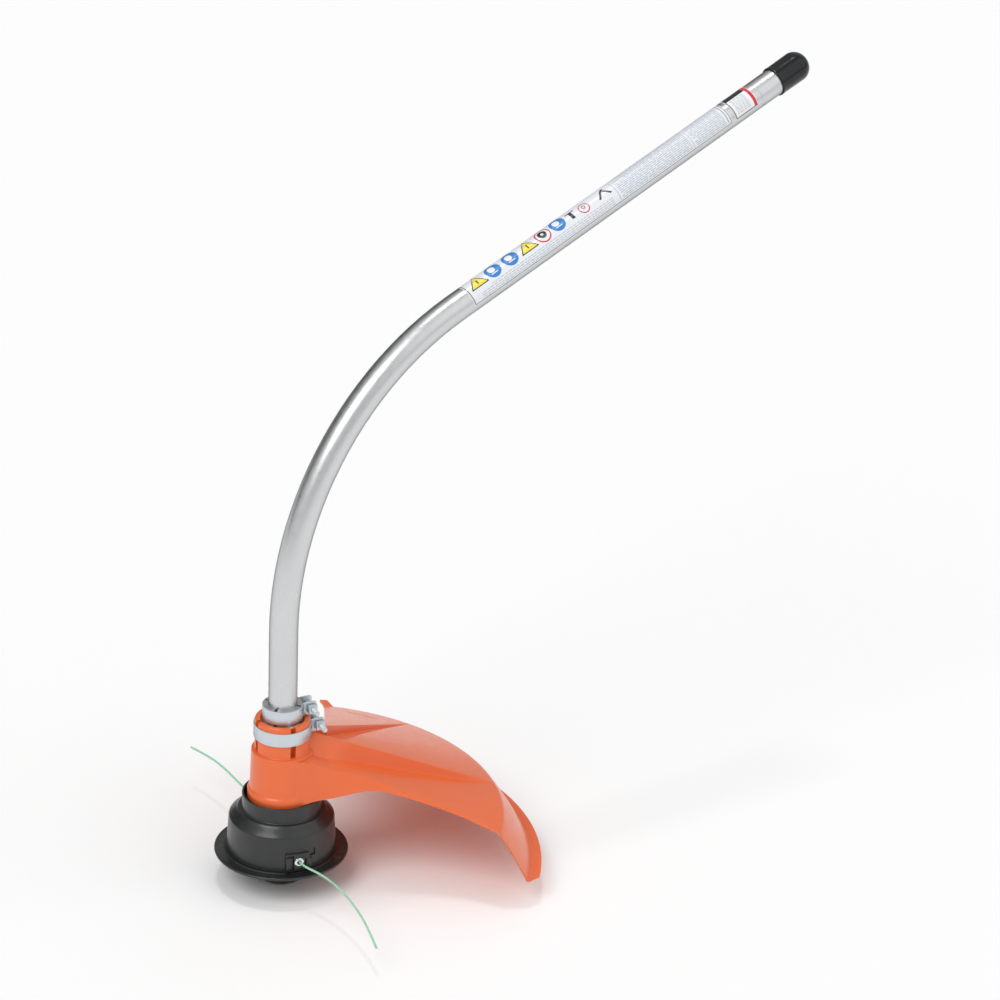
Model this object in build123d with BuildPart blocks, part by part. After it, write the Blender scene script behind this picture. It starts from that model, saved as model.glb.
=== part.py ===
from build123d import *
import os
from math import cos, radians, sin, tan

os.makedirs("parts", exist_ok=True)

# A bump-feed string trimmer attachment for a split-shaft power tool: a curved aluminium drive
# tube, a clamped deflector guard, and a spinning head that holds the cutting line.
#
# Millimetres. Z is the head's spin axis, pointing up. The origin is on that axis at the bump
# knob's lower face. The drive tube bends over towards +X, so the tube lies in the XZ plane.

# Running gap between a shaft and its hole, on the radius
RUNNING_GAP = 0.05

# Drive tube: straight foot, one bend, straight upper end
TUBE_R = 12.7
TUBE_WALL = 1.5
TUBE_FOOT = 135.0
BEND_START = 242.7
BEND_RADIUS = 280.6
BEND_ANGLE = 68.8
STRAIGHT = 423.3
INSERTION_LINE = 58.7
GROOVE_WIDTH = 1.6
GROOVE_DEPTH = 0.2
TUBE_BORE_R = TUBE_R - TUBE_WALL

# Drive line inside the tube
CABLE_R = 3.1
CABLE_GAP = 0.3
SQUARE_SIZE = 5.2
SQUARE_GAP = 0.1
CONNECTOR_R = 7.0
BUSH_FROM_END = 60.0
BUSH_LENGTH = 22.0

# Bearing housing, on the spin axis
HOUSING_R = 18.0
NECK_R = 16.9
HOUSING_FOOT = 92.0
NECK_FOOT = 156.5
NECK_TOP = 173.5
BEARING_BORE_R = 13.0
BEARING_WIDTH = 8.0
BEARING_SHAFT_R = 5.0
LOWER_BEARING = 95.0
UPPER_BEARING = 122.0
BALL_R = 2.38
BALL_COUNT = 7
BALL_CIRCLE_R = 9.0

# Guard: collar, bell and fan. Azimuths are degrees from +X.
COLLAR_R = 24.5
COLLAR_TOP = 159.8
COLLAR_FOOT = 129.5
BELL_R = 27.4
BELL_FOOT = 82.5
GUARD_WALL = 2.8
RIM_R = 197.0
RIM_TOP = 69.5
SKIRT_FOOT_R = 224.0
SKIRT_FOOT = 22.0
LIP_R = 233.0
NEAR_AZIMUTH = -49.5
RIDGE_AZIMUTH = -22.5
FAR_AZIMUTH = 42.5
PAD_SLOPE = 0.42
CHANNEL_SLOPE = 0.347

# Clamps
CLAMP_AZIMUTH = -13.0
BAND_THICKNESS = 1.1
BAND_HEIGHT = 12.5
BAND_GAP = 9.0
EAR_THICKNESS = 2.0
SMALL_CLAMP_FOOT = 160.3
LARGE_CLAMP_FOOT = 142.7

# Cutting head
FLANGE_R = 59.8
FLANGE_FOOT = 28.0
FLANGE_TOP = 30.0
HEAD_FOOT_R = 49.0
HEAD_SHOULDER_R = 46.8
HEAD_SHOULDER = 64.5
RING_R = 35.2
RING_INNER_R = 32.6
RING_FOOT = 70.8
HEAD_TOP = 86.0
KNOB_R = 26.0
CAP_HOLE_R = 26.6
SPOOL_R = 40.0
SPOOL_CORE_R = 17.0
SPOOL_FOOT = 30.6
EYELET_HEIGHT = 41.0
EYELET_AZIMUTHS = (-108.0, 72.0)
EYELET_FACE_R = 51.0
LATCH_OFFSET = 15.5
LINE_R = 1.0
SPRING_R = 11.0
SPRING_WIRE_R = 0.8
SPRING_TURNS = 6
SPRING_FOOT = 41.2
SPRING_TOP = 70.4


# ---------------------------------------------------------------- helpers

def pad_height(radius):
    """Height of the guard's raised pads, which are one shallow cone."""
    return RIM_TOP + PAD_SLOPE * (RIM_R - radius)


def channel_height(radius):
    """Height of the sunken channel that leads in to the clamp screws."""
    return RIM_TOP + CHANNEL_SLOPE * (RIM_R - radius)


def tube_plane(from_end):
    """Plane across the tube's upper straight, a distance down from its end.

    Its normal runs up the tube, its X is +Y, and its Y is the tube's upper side.
    """
    along = Vector(sin(radians(BEND_ANGLE)), 0, cos(radians(BEND_ANGLE)))
    bend_x = BEND_RADIUS * (1 - cos(radians(BEND_ANGLE)))
    bend_z = BEND_START + BEND_RADIUS * sin(radians(BEND_ANGLE))
    origin = Vector(bend_x, 0, bend_z) + along * (STRAIGHT - from_end)
    return Plane(origin=origin, x_dir=(0, 1, 0), z_dir=along)


def azimuth_plane(azimuth):
    """Upright plane through the spin axis: X is radius, Y is height."""
    turn = radians(azimuth)
    return Plane(origin=(0, 0, 0), x_dir=(cos(turn), sin(turn), 0), z_dir=(sin(turn), -cos(turn), 0))


def facing_plane(azimuth, radius, height):
    """Upright plane that faces outwards: X is sideways, Y is up."""
    turn = radians(azimuth)
    origin = (radius * cos(turn), radius * sin(turn), height)
    return Plane(origin=origin, x_dir=(-sin(turn), cos(turn), 0), z_dir=(cos(turn), sin(turn), 0))


def polar(radius, azimuth):
    """Plan point at a radius and an azimuth."""
    return (radius * cos(radians(azimuth)), radius * sin(radians(azimuth)))


def ring(inner_r, outer_r, foot, top):
    """Plain ring on the spin axis."""
    with BuildPart() as made:
        with BuildSketch(Plane.XY.offset(foot)):
            Circle(outer_r)
            Circle(inner_r, mode=Mode.SUBTRACT)
        extrude(amount=top - foot)
    return made


def turned(profile, start=0.0, arc=360.0):
    """Solid turned about the spin axis from a closed outline of (radius, height) points."""
    with BuildPart() as made:
        with BuildSketch(azimuth_plane(start)):
            with BuildLine():
                Polyline(*profile, close=True)
            make_face()
        revolve(axis=Axis.Z, revolution_arc=arc)
    return made


def tube_line(start_height, from_end):
    """Centre line of the tube from a height on its foot to a distance down from its end."""
    with BuildLine(Plane.XZ) as made:
        foot = Line((0, start_height), (0, BEND_START))
        bend = JernArc(start=foot @ 1, tangent=foot % 1, radius=BEND_RADIUS, arc_size=-BEND_ANGLE)
        PolarLine(bend @ 1, STRAIGHT - from_end, direction=bend % 1)
    return made.wire()


# ---------------------------------------------------------------- tube and drive line

with BuildPart() as drive_tube:
    with BuildSketch(Plane.XY.offset(TUBE_FOOT)):
        Circle(TUBE_R)
        Circle(TUBE_BORE_R, mode=Mode.SUBTRACT)
    sweep(path=tube_line(TUBE_FOOT, 0))
    # the rolled line that shows how far the tube goes into a coupler
    with BuildSketch(tube_plane(INSERTION_LINE + GROOVE_WIDTH / 2)):
        Circle(TUBE_R + 1)
        Circle(TUBE_R - GROOVE_DEPTH, mode=Mode.SUBTRACT)
    extrude(amount=GROOVE_WIDTH, mode=Mode.SUBTRACT)

LINER_FOOT = 150.0
LINER_FROM_END = 84.0
LINER_BORE_R = 3.5
LINER_R = 5.0
LINER_RIB = 1.6
LINER_RIB_R = TUBE_BORE_R - RUNNING_GAP

with BuildPart() as shaft_liner:
    with BuildSketch(Plane.XY.offset(LINER_FOOT)):
        Circle(LINER_R)
        Rectangle(2 * LINER_RIB_R, LINER_RIB)
        Rectangle(LINER_RIB, 2 * LINER_RIB_R)
        Circle(LINER_BORE_R, mode=Mode.SUBTRACT)
        Circle(LINER_RIB_R, mode=Mode.INTERSECT)
    sweep(path=tube_line(LINER_FOOT, LINER_FROM_END))

FERRULE_TOP = 146.0
CONNECTOR_SLEEVE = 13.0
CABLE_TOP_FROM_END = BUSH_FROM_END + CONNECTOR_SLEEVE

with BuildPart() as flexible_shaft:
    with BuildSketch(Plane.XY.offset(FERRULE_TOP + CABLE_GAP)):
        Circle(CABLE_R)
    sweep(path=tube_line(FERRULE_TOP + CABLE_GAP, CABLE_TOP_FROM_END + CABLE_GAP))

with BuildPart() as top_bush:
    with BuildSketch(tube_plane(BUSH_FROM_END)):
        Circle(TUBE_BORE_R)
        Circle(CONNECTOR_R + RUNNING_GAP, mode=Mode.SUBTRACT)
    extrude(amount=BUSH_LENGTH)

CONNECTOR_SLEEVE_R = 4.7
CONNECTOR_COLLAR_R = 8.5
CONNECTOR_COLLAR = 1.7
CONNECTOR_END_PLAY = 0.3
CONNECTOR_OVERHANG = 0.5
CONNECTOR_SQUARE = 9.5
CONNECTOR_REACH = 18.0
collar_from_end = BUSH_FROM_END + CONNECTOR_END_PLAY
square_from_end = BUSH_FROM_END - BUSH_LENGTH - CONNECTOR_OVERHANG

with BuildPart() as drive_connector:
    # sleeve on the flexible shaft, collar under the bush, shank in the bush, and drive square
    with BuildSketch(tube_plane(CABLE_TOP_FROM_END)):
        Circle(CONNECTOR_SLEEVE_R)
    extrude(amount=CABLE_TOP_FROM_END - collar_from_end)
    with BuildSketch(tube_plane(collar_from_end)):
        Circle(CONNECTOR_R)
    extrude(amount=collar_from_end - square_from_end)
    with BuildSketch(tube_plane(collar_from_end)):
        Circle(CONNECTOR_COLLAR_R)
    extrude(amount=-CONNECTOR_COLLAR)
    with BuildSketch(tube_plane(square_from_end)):
        Rectangle(CONNECTOR_SQUARE, CONNECTOR_SQUARE)
        fillet(vertices(), radius=1)
    extrude(amount=CONNECTOR_REACH)

CAP_R = 14.25
CAP_SKIRT_INNER_R = 13.3
CAP_SKIRT = 33.0
CAP_PLUG_R = TUBE_BORE_R - RUNNING_GAP
CAP_PLUG_INNER_R = 9.6
CAP_PLUG = 14.0
CAP_CROWN = 7.0
CAP_CROWN_ROUND = 6.6

with BuildPart() as tube_end_cap:
    with BuildSketch(tube_plane(CAP_SKIRT)):
        Circle(CAP_R)
        Circle(CAP_SKIRT_INNER_R, mode=Mode.SUBTRACT)
    extrude(amount=CAP_SKIRT)
    with BuildSketch(tube_plane(0)):
        Circle(CAP_R)
    extrude(amount=CAP_CROWN)
    up_the_tube = Axis(tube_plane(0).origin, tube_plane(0).z_dir)
    crown = edges().filter_by(GeomType.CIRCLE).sort_by(up_the_tube)[-1]
    fillet(crown, radius=CAP_CROWN_ROUND)
    with BuildSketch(tube_plane(CAP_PLUG)):
        Circle(CAP_PLUG_R)
        Circle(CAP_PLUG_INNER_R, mode=Mode.SUBTRACT)
    extrude(amount=CAP_PLUG)

LABEL_THICKNESS = 0.15
LABEL_SKIRT = 0.9
TUBE_LABEL_FROM_END = 410.4
TUBE_LABEL_LENGTH = 313.4
COUPLING_LABEL_FROM_END = 92.4
COUPLING_LABEL_LENGTH = 27.8


def film(from_end, length):
    """Printed film wrapped over the upper half of the tube."""
    with BuildPart() as made:
        with BuildSketch(tube_plane(from_end)):
            Circle(TUBE_R + LABEL_THICKNESS)
            Circle(TUBE_R, mode=Mode.SUBTRACT)
            with Locations((0, -TUBE_R - 1 - LABEL_SKIRT)):
                Rectangle(4 * TUBE_R, 2 * (TUBE_R + 1), mode=Mode.SUBTRACT)
        extrude(amount=length)
    return made


tube_label = film(TUBE_LABEL_FROM_END, TUBE_LABEL_LENGTH)
coupling_label = film(COUPLING_LABEL_FROM_END, COUPLING_LABEL_LENGTH)


# ---------------------------------------------------------------- bearing housing

TUBE_SEAT_R = 9.0
CIRCLIP_FOOT = 93.2
CIRCLIP_TOP = 94.6
CIRCLIP_GROOVE_R = 13.7
CIRCLIP_BORE_R = 11.4
CIRCLIP_GAP = 5.0
HOUSING_CHAMFER = 0.8
NECK_SLOT = 2.6
NECK_SLOT_FOOT = 152.0

housing_profile = [
    (BEARING_BORE_R, HOUSING_FOOT),
    (HOUSING_R - HOUSING_CHAMFER, HOUSING_FOOT),
    (HOUSING_R, HOUSING_FOOT + HOUSING_CHAMFER),
    (HOUSING_R, NECK_FOOT),
    (NECK_R, NECK_FOOT + HOUSING_R - NECK_R),
    (NECK_R, NECK_TOP),
    (TUBE_R, NECK_TOP),
    (TUBE_R, TUBE_FOOT),
    (TUBE_SEAT_R, TUBE_FOOT),
    (TUBE_SEAT_R, UPPER_BEARING + BEARING_WIDTH),
    (BEARING_BORE_R, UPPER_BEARING + BEARING_WIDTH),
    (BEARING_BORE_R, CIRCLIP_TOP),
    (CIRCLIP_GROOVE_R, CIRCLIP_TOP),
    (CIRCLIP_GROOVE_R, CIRCLIP_FOOT),
    (BEARING_BORE_R, CIRCLIP_FOOT),
]

with BuildPart() as bearing_housing:
    with BuildSketch(Plane.XZ):
        with BuildLine():
            Polyline(*housing_profile, close=True)
        make_face()
    revolve(axis=Axis.Z)
    # the neck is split so that its clamp can squeeze it on the tube
    with BuildSketch(Plane.XY.offset(NECK_SLOT_FOOT)):
        with PolarLocations((TUBE_R + NECK_R) / 2, 4, start_angle=CLAMP_AZIMUTH + 45):
            Rectangle(2 * HOUSING_R - 2 * TUBE_R, NECK_SLOT)
    extrude(amount=NECK_TOP - NECK_SLOT_FOOT, mode=Mode.SUBTRACT)

with BuildPart() as housing_circlip:
    with BuildSketch(Plane.XY.offset(CIRCLIP_FOOT)):
        Circle(CIRCLIP_GROOVE_R)
        Circle(CIRCLIP_BORE_R, mode=Mode.SUBTRACT)
        with Locations((0, -BEARING_BORE_R)):
            Rectangle(CIRCLIP_GAP, HOUSING_R - CIRCLIP_BORE_R, mode=Mode.SUBTRACT)
    extrude(amount=CIRCLIP_TOP - CIRCLIP_FOOT)

INNER_RACE_R = 7.1
OUTER_RACE_R = 10.9
RACE_GROOVE_R = BALL_R + RUNNING_GAP
CAGE_INNER_R = 8.3
CAGE_OUTER_R = 9.7
CAGE_HEIGHT = 6.4
SPACER_R = 6.6


def race(inner_r, outer_r, foot):
    """Bearing race with a ball groove on the side that faces the balls."""
    with BuildPart() as made:
        with BuildSketch(Plane.XZ):
            with Locations(((inner_r + outer_r) / 2, foot + BEARING_WIDTH / 2)):
                Rectangle(outer_r - inner_r, BEARING_WIDTH)
            with Locations((BALL_CIRCLE_R, foot + BEARING_WIDTH / 2)):
                Circle(RACE_GROOVE_R, mode=Mode.SUBTRACT)
        revolve(axis=Axis.Z)
    return made


def ball_set(foot):
    """The balls of one bearing."""
    with BuildPart(Plane.XY.offset(foot + BEARING_WIDTH / 2)) as made:
        with PolarLocations(BALL_CIRCLE_R, BALL_COUNT):
            Sphere(BALL_R)
    return made


def ball_cage(foot):
    """The cage that keeps one bearing's balls apart."""
    middle = foot + BEARING_WIDTH / 2
    with BuildPart() as made:
        with BuildSketch(Plane.XY.offset(middle - CAGE_HEIGHT / 2)):
            Circle(CAGE_OUTER_R)
            Circle(CAGE_INNER_R, mode=Mode.SUBTRACT)
        extrude(amount=CAGE_HEIGHT)
        for number in range(BALL_COUNT):
            with BuildSketch(facing_plane(number * 360 / BALL_COUNT, CAGE_INNER_R - 1, middle)):
                Circle(BALL_R + RUNNING_GAP)
            extrude(amount=CAGE_OUTER_R - CAGE_INNER_R + 2, mode=Mode.SUBTRACT)
    return made


lower_outer_race = race(OUTER_RACE_R, BEARING_BORE_R, LOWER_BEARING)
upper_outer_race = race(OUTER_RACE_R, BEARING_BORE_R, UPPER_BEARING)
lower_inner_race = race(BEARING_SHAFT_R, INNER_RACE_R, LOWER_BEARING)
upper_inner_race = race(BEARING_SHAFT_R, INNER_RACE_R, UPPER_BEARING)
lower_bearing_balls = ball_set(LOWER_BEARING)
upper_bearing_balls = ball_set(UPPER_BEARING)
lower_ball_cage = ball_cage(LOWER_BEARING)
upper_ball_cage = ball_cage(UPPER_BEARING)
bearing_spacer = ring(BEARING_SHAFT_R, SPACER_R, LOWER_BEARING + BEARING_WIDTH, UPPER_BEARING)

SPINDLE_TOP = 142.0
SPINDLE_CLIP_FOOT = 130.0
SPINDLE_CLIP = 1.0
SPINDLE_CLIP_R = 4.7
SHOULDER_R = 7.0
SHOULDER_FOOT = 88.0
THREAD_R = 4.0
THREAD_FOOT = 60.0
THREAD_CHAMFER = 0.8
SOCKET_FOOT = 126.0
SPINDLE_CLIP_GAP = 4.0

spindle_profile = [
    (0, THREAD_FOOT),
    (THREAD_R - THREAD_CHAMFER, THREAD_FOOT),
    (THREAD_R, THREAD_FOOT + THREAD_CHAMFER),
    (THREAD_R, SHOULDER_FOOT),
    (SHOULDER_R, SHOULDER_FOOT),
    (SHOULDER_R, LOWER_BEARING),
    (BEARING_SHAFT_R, LOWER_BEARING),
    (BEARING_SHAFT_R, SPINDLE_CLIP_FOOT),
    (SPINDLE_CLIP_R, SPINDLE_CLIP_FOOT),
    (SPINDLE_CLIP_R, SPINDLE_CLIP_FOOT + SPINDLE_CLIP),
    (BEARING_SHAFT_R, SPINDLE_CLIP_FOOT + SPINDLE_CLIP),
    (BEARING_SHAFT_R, SPINDLE_TOP),
    (0, SPINDLE_TOP),
]

with BuildPart() as spindle:
    with BuildSketch(Plane.XZ):
        with BuildLine():
            Polyline(*spindle_profile, close=True)
        make_face()
    revolve(axis=Axis.Z)
    with BuildSketch(Plane.XY.offset(SOCKET_FOOT)):
        Rectangle(SQUARE_SIZE + 2 * SQUARE_GAP, SQUARE_SIZE + 2 * SQUARE_GAP)
    extrude(amount=SPINDLE_TOP - SOCKET_FOOT, mode=Mode.SUBTRACT)

with BuildPart() as spindle_circlip:
    with BuildSketch(Plane.XY.offset(SPINDLE_CLIP_FOOT)):
        Circle(SPACER_R)
        Circle(SPINDLE_CLIP_R, mode=Mode.SUBTRACT)
        with Locations((0, -SPACER_R)):
            Rectangle(SPINDLE_CLIP_GAP, SPACER_R, mode=Mode.SUBTRACT)
    extrude(amount=SPINDLE_CLIP)

FERRULE_R = 4.4
FERRULE_GAP = 0.3

with BuildPart() as shaft_ferrule:
    with BuildSketch(Plane.XY.offset(SOCKET_FOOT + FERRULE_GAP)):
        Rectangle(SQUARE_SIZE, SQUARE_SIZE)
    extrude(amount=SPINDLE_TOP - SOCKET_FOOT)
    with BuildSketch(Plane.XY.offset(SPINDLE_TOP + FERRULE_GAP)):
        Circle(FERRULE_R)
    extrude(amount=FERRULE_TOP - SPINDLE_TOP - FERRULE_GAP)


# ---------------------------------------------------------------- guard

FAN_INNER_R = 25.8
FAN_START_R = 24.0
WALL_FOOT = 40.0
WALL_TOP = 160.0
FAR_WALL_HEIGHT = 14.0
RIM_BEYOND = 240.0
# heights of the near panel, and of the arch under its edge, by radius
PANEL_HEIGHTS = [
    (FAN_START_R, 127.0),
    (45.0, 116.5),
    (75.0, 105.5),
    (105.0, 95.0),
    (160.0, 78.5),
    (RIM_R, RIM_TOP),
]
ARCH_HEIGHTS = [
    (FAN_START_R, 87.6),
    (46.0, 87.6),
    (58.0, 90.4),
    (72.0, 94.0),
    (92.0, 95.0),
    (104.0, 92.4),
]
# the sunken channel forks off the ridge and runs out to a tip on the rim
RIDGE_START = polar(FAN_START_R, RIDGE_AZIMUTH)
RIDGE_FORK = polar(56.0, RIDGE_AZIMUTH)
CHANNEL_TIP_AZIMUTH = 17.2
CHANNEL_TIP = polar(RIM_R, CHANNEL_TIP_AZIMUTH)
CHANNEL_FAR = (56.0, 12.5)


def band_between(top, foot, start, arc):
    """Solid turned between two outlines of (radius, height) points, in from the guard's rim."""
    return turned(top + foot[::-1], start, arc)


def strip(points):
    """Upright wall along a plan line, tall enough to meet any part of the fan."""
    with BuildPart() as made:
        with BuildSketch(Plane.XY.offset(WALL_FOOT)):
            with BuildLine():
                Polyline(*points)
            trace(line_width=GUARD_WALL)
        extrude(amount=WALL_TOP - WALL_FOOT)
    return made


def plan_prism(points):
    """Upright prism over a plan outline, tall enough to cut any part of the fan."""
    with BuildPart() as made:
        with BuildSketch():
            with BuildLine():
                Polyline(*points, close=True)
            make_face()
        extrude(amount=WALL_TOP)
    return made


def sloped(height, drop=0.0):
    """Outline of a cone from the bell out to the rim, lowered by a drop."""
    return [(FAN_INNER_R, height(FAN_INNER_R) - drop), (RIM_R, height(RIM_R) - drop)]


FAR_CORNER = polar(RIM_R, FAR_AZIMUTH)
NEAR_CORNER = polar(RIM_R, NEAR_AZIMUTH)
FAN_ARC = FAR_AZIMUTH - NEAR_AZIMUTH
PAD_ARC = FAR_AZIMUTH - RIDGE_AZIMUTH
PANEL_ARC = RIDGE_AZIMUTH - NEAR_AZIMUTH

NEAR_BEYOND = polar(RIM_BEYOND, NEAR_AZIMUTH)
RIDGE_BEYOND = polar(RIM_BEYOND, RIDGE_AZIMUTH)
TIP_BEYOND = polar(RIM_BEYOND, CHANNEL_TIP_AZIMUTH)
FAR_BEYOND = polar(RIM_BEYOND, FAR_AZIMUTH)

near_edge = [
    (-4.0, -28.0),
    (12.0, -33.5),
    (26.0, -38.5),
    (40.0, -46.5),
    (56.0, -59.0),
    (93.0, -95.0),
    NEAR_CORNER,
]
far_edge = [(6.0, 27.0), (24.0, 23.0), CHANNEL_FAR, FAR_CORNER]
pad_outline = [RIDGE_FORK, RIDGE_BEYOND, TIP_BEYOND, CHANNEL_TIP]
far_pad_outline = [CHANNEL_FAR, CHANNEL_TIP, TIP_BEYOND, FAR_BEYOND, FAR_CORNER]
channel_outline = [(0, 0), RIDGE_FORK, CHANNEL_TIP, CHANNEL_FAR, far_edge[1], far_edge[0]]
panel_outline = [(0, 0)] + near_edge + [NEAR_BEYOND, RIDGE_BEYOND]

pad_top = sloped(pad_height)
pad_foot = sloped(pad_height, GUARD_WALL)
channel_top = sloped(channel_height)
channel_foot = sloped(channel_height, GUARD_WALL)
far_wall_foot = sloped(channel_height, FAR_WALL_HEIGHT)
panel_foot = [(radius, height - GUARD_WALL) for radius, height in PANEL_HEIGHTS]

# each sheet is turned a little wider than it is wanted, and cut to its plan outline
pad_sheet = band_between(pad_top, pad_foot, RIDGE_AZIMUTH, PAD_ARC)
channel_sheet = band_between(channel_top, channel_foot, RIDGE_AZIMUTH, PAD_ARC + 45)
panel_sheet = band_between(PANEL_HEIGHTS, panel_foot, NEAR_AZIMUTH - 90, PANEL_ARC + 90)
inner_walls = band_between(pad_top, channel_foot, RIDGE_AZIMUTH - 5, PAD_ARC + 30)
ridge_wall = band_between(pad_top, panel_foot, RIDGE_AZIMUTH - 5, 10)
near_wall = band_between(PANEL_HEIGHTS[:4], ARCH_HEIGHTS, NEAR_AZIMUTH - 90, 140)
far_wall = band_between(pad_top, far_wall_foot, RIDGE_AZIMUTH, PAD_ARC + 55)

LIP_THICKNESS = 2.6
SKIRT_LAP = 4.0

# the skirt laps on to the fan inside the rim, and turns out into a lip at its foot
skirt_profile = [
    (RIM_R - SKIRT_LAP, pad_height(RIM_R - SKIRT_LAP)),
    (RIM_R, RIM_TOP),
    (SKIRT_FOOT_R + 0.6, SKIRT_FOOT + LIP_THICKNESS - 0.2),
    (LIP_R, SKIRT_FOOT + LIP_THICKNESS),
    (LIP_R, SKIRT_FOOT),
    (SKIRT_FOOT_R - 1.2, SKIRT_FOOT - 0.4),
    (RIM_R - 2.4, RIM_TOP - 4),
    (RIM_R - SKIRT_LAP, RIM_TOP - 2.4),
]

BELL_NECK = 10.0
BELL_FLARE = 12.0
BAND_R = 30.8
BAND_TOP = 91.5
SPLIT_DEPTH = 29.8
SPLIT_WIDTH = 5.0

bell_profile = [
    (HOUSING_R, COLLAR_FOOT - BELL_NECK / 2),
    (BELL_R - GUARD_WALL, COLLAR_FOOT - BELL_NECK),
    (BELL_R - GUARD_WALL + 1, BELL_FOOT + BELL_FLARE),
    (BELL_R + 0.6, BAND_TOP),
    (BELL_R + 0.6, BELL_FOOT),
    (BAND_R, BELL_FOOT),
    (BAND_R, BAND_TOP),
    (BELL_R + 1, BELL_FOOT + BELL_FLARE),
    (BELL_R, COLLAR_FOOT),
    (COLLAR_R, COLLAR_FOOT),
    (COLLAR_R, COLLAR_TOP),
    (HOUSING_R, COLLAR_TOP),
]

BLADE_AZIMUTH = 34.0
BLADE_SEAT_R = 200.0
BLADE_WIDTH = 24.0
BLADE_FOOT = 30.0
BLADE_TOP = 56.0
BLADE_PAD_FOOT_R = SKIRT_FOOT_R - 6.5
BLADE_PAD_TOP_R = SKIRT_FOOT_R - 19.5

with BuildPart() as guard:
    # fan: two pads, the sunken channel between them, and the near panel, with walls at each step
    add(pad_sheet.part.intersect(plan_prism(pad_outline).part))
    add(pad_sheet.part.intersect(plan_prism(far_pad_outline).part))
    add(channel_sheet.part.intersect(plan_prism(channel_outline).part))
    add(panel_sheet.part.intersect(plan_prism(panel_outline).part))
    add(inner_walls.part.intersect(strip([RIDGE_FORK, CHANNEL_TIP, CHANNEL_FAR]).part))
    add(ridge_wall.part.intersect(strip([RIDGE_START, polar(RIM_R, RIDGE_AZIMUTH)]).part))
    add(near_wall.part.intersect(strip(near_edge).part))
    add(far_wall.part.intersect(strip(far_edge).part))
    # skirt with its outward lip
    add(turned(skirt_profile, NEAR_AZIMUTH, FAN_ARC).part)
    # collar and bell
    add(turned(bell_profile).part)
    # the collar is split so that its clamp can squeeze it on the housing
    with BuildSketch(Plane.XY.offset(COLLAR_TOP - SPLIT_DEPTH)):
        with PolarLocations((HOUSING_R + COLLAR_R) / 2, 4, start_angle=CLAMP_AZIMUTH):
            Rectangle(COLLAR_R - HOUSING_R + 3, SPLIT_WIDTH)
    extrude(amount=SPLIT_DEPTH, mode=Mode.SUBTRACT)
    # pad that the line cutter is screwed to
    with BuildSketch(azimuth_plane(BLADE_AZIMUTH)):
        with BuildLine():
            Polyline(
                (BLADE_SEAT_R, BLADE_FOOT),
                (BLADE_PAD_FOOT_R, BLADE_FOOT),
                (BLADE_PAD_TOP_R, BLADE_TOP),
                (BLADE_SEAT_R, BLADE_TOP),
                close=True,
            )
        make_face()
    extrude(amount=BLADE_WIDTH / 2, both=True)

BLADE_THICKNESS = 1.5
BLADE_REACH = 10.0
BLADE_SCREW_R = 2.0
BLADE_SCREW_HEIGHTS = (36.5, 49.5)
BLADE_SCREW_DEPTH = 6.0
BLADE_SCREW_HEAD = 2.0
BLADE_MARGIN = 1.0
blade_middle = (BLADE_FOOT + BLADE_TOP) / 2
blade_height = BLADE_TOP - BLADE_FOOT - 2 * BLADE_MARGIN

with BuildPart() as blade_screws:
    for height in BLADE_SCREW_HEIGHTS:
        with BuildSketch(facing_plane(BLADE_AZIMUTH, BLADE_SEAT_R - BLADE_THICKNESS, height)):
            Circle(BLADE_SCREW_R)
        extrude(amount=BLADE_SCREW_DEPTH)
        with BuildSketch(facing_plane(BLADE_AZIMUTH, BLADE_SEAT_R - BLADE_THICKNESS, height)):
            Circle(2 * BLADE_SCREW_R)
        extrude(amount=-BLADE_SCREW_HEAD)

with BuildPart() as line_cutter_blade:
    with BuildSketch(facing_plane(BLADE_AZIMUTH, BLADE_SEAT_R, blade_middle)):
        Rectangle(BLADE_WIDTH - 2 * BLADE_MARGIN, blade_height)
    extrude(amount=-BLADE_THICKNESS)
    # the cutting edge stands in from the seat, square to the line's path
    with BuildSketch(facing_plane(BLADE_AZIMUTH, BLADE_SEAT_R, blade_middle)):
        with Locations((BLADE_WIDTH / 2 - BLADE_MARGIN - BLADE_THICKNESS / 2, 0)):
            Rectangle(BLADE_THICKNESS, blade_height)
    extrude(amount=-BLADE_REACH)
    for height in BLADE_SCREW_HEIGHTS:
        with BuildSketch(facing_plane(BLADE_AZIMUTH, BLADE_SEAT_R, height)):
            Circle(BLADE_SCREW_R)
        extrude(amount=-BLADE_THICKNESS, mode=Mode.SUBTRACT)

with BuildPart() as guard_screw_holes:
    for height in BLADE_SCREW_HEIGHTS:
        with BuildSketch(facing_plane(BLADE_AZIMUTH, BLADE_SEAT_R, height)):
            Circle(BLADE_SCREW_R)
        extrude(amount=BLADE_SCREW_DEPTH - BLADE_THICKNESS)

with guard:
    add(guard_screw_holes.part, mode=Mode.SUBTRACT)


# ---------------------------------------------------------------- clamps

EAR_REACH = 12.8
SCREW_R = 2.5
SCREW_OVERHANG = 9.0
SCREW_HEAD_R = 4.6
SCREW_INSET = 4.8
SCREW_HEAD = 3.4
NUT_SIZE = 8.0
NUT_HEIGHT = 4.0


def across_plane(radius, height, side):
    """Plane square to the clamp screws: X is radius, Y is down, normal towards the screw's head."""
    turn = radians(CLAMP_AZIMUTH)
    origin = (radius * cos(turn) - side * sin(turn), radius * sin(turn) + side * cos(turn), height)
    return Plane(origin=origin, x_dir=(cos(turn), sin(turn), 0), z_dir=(-sin(turn), cos(turn), 0))


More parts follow.
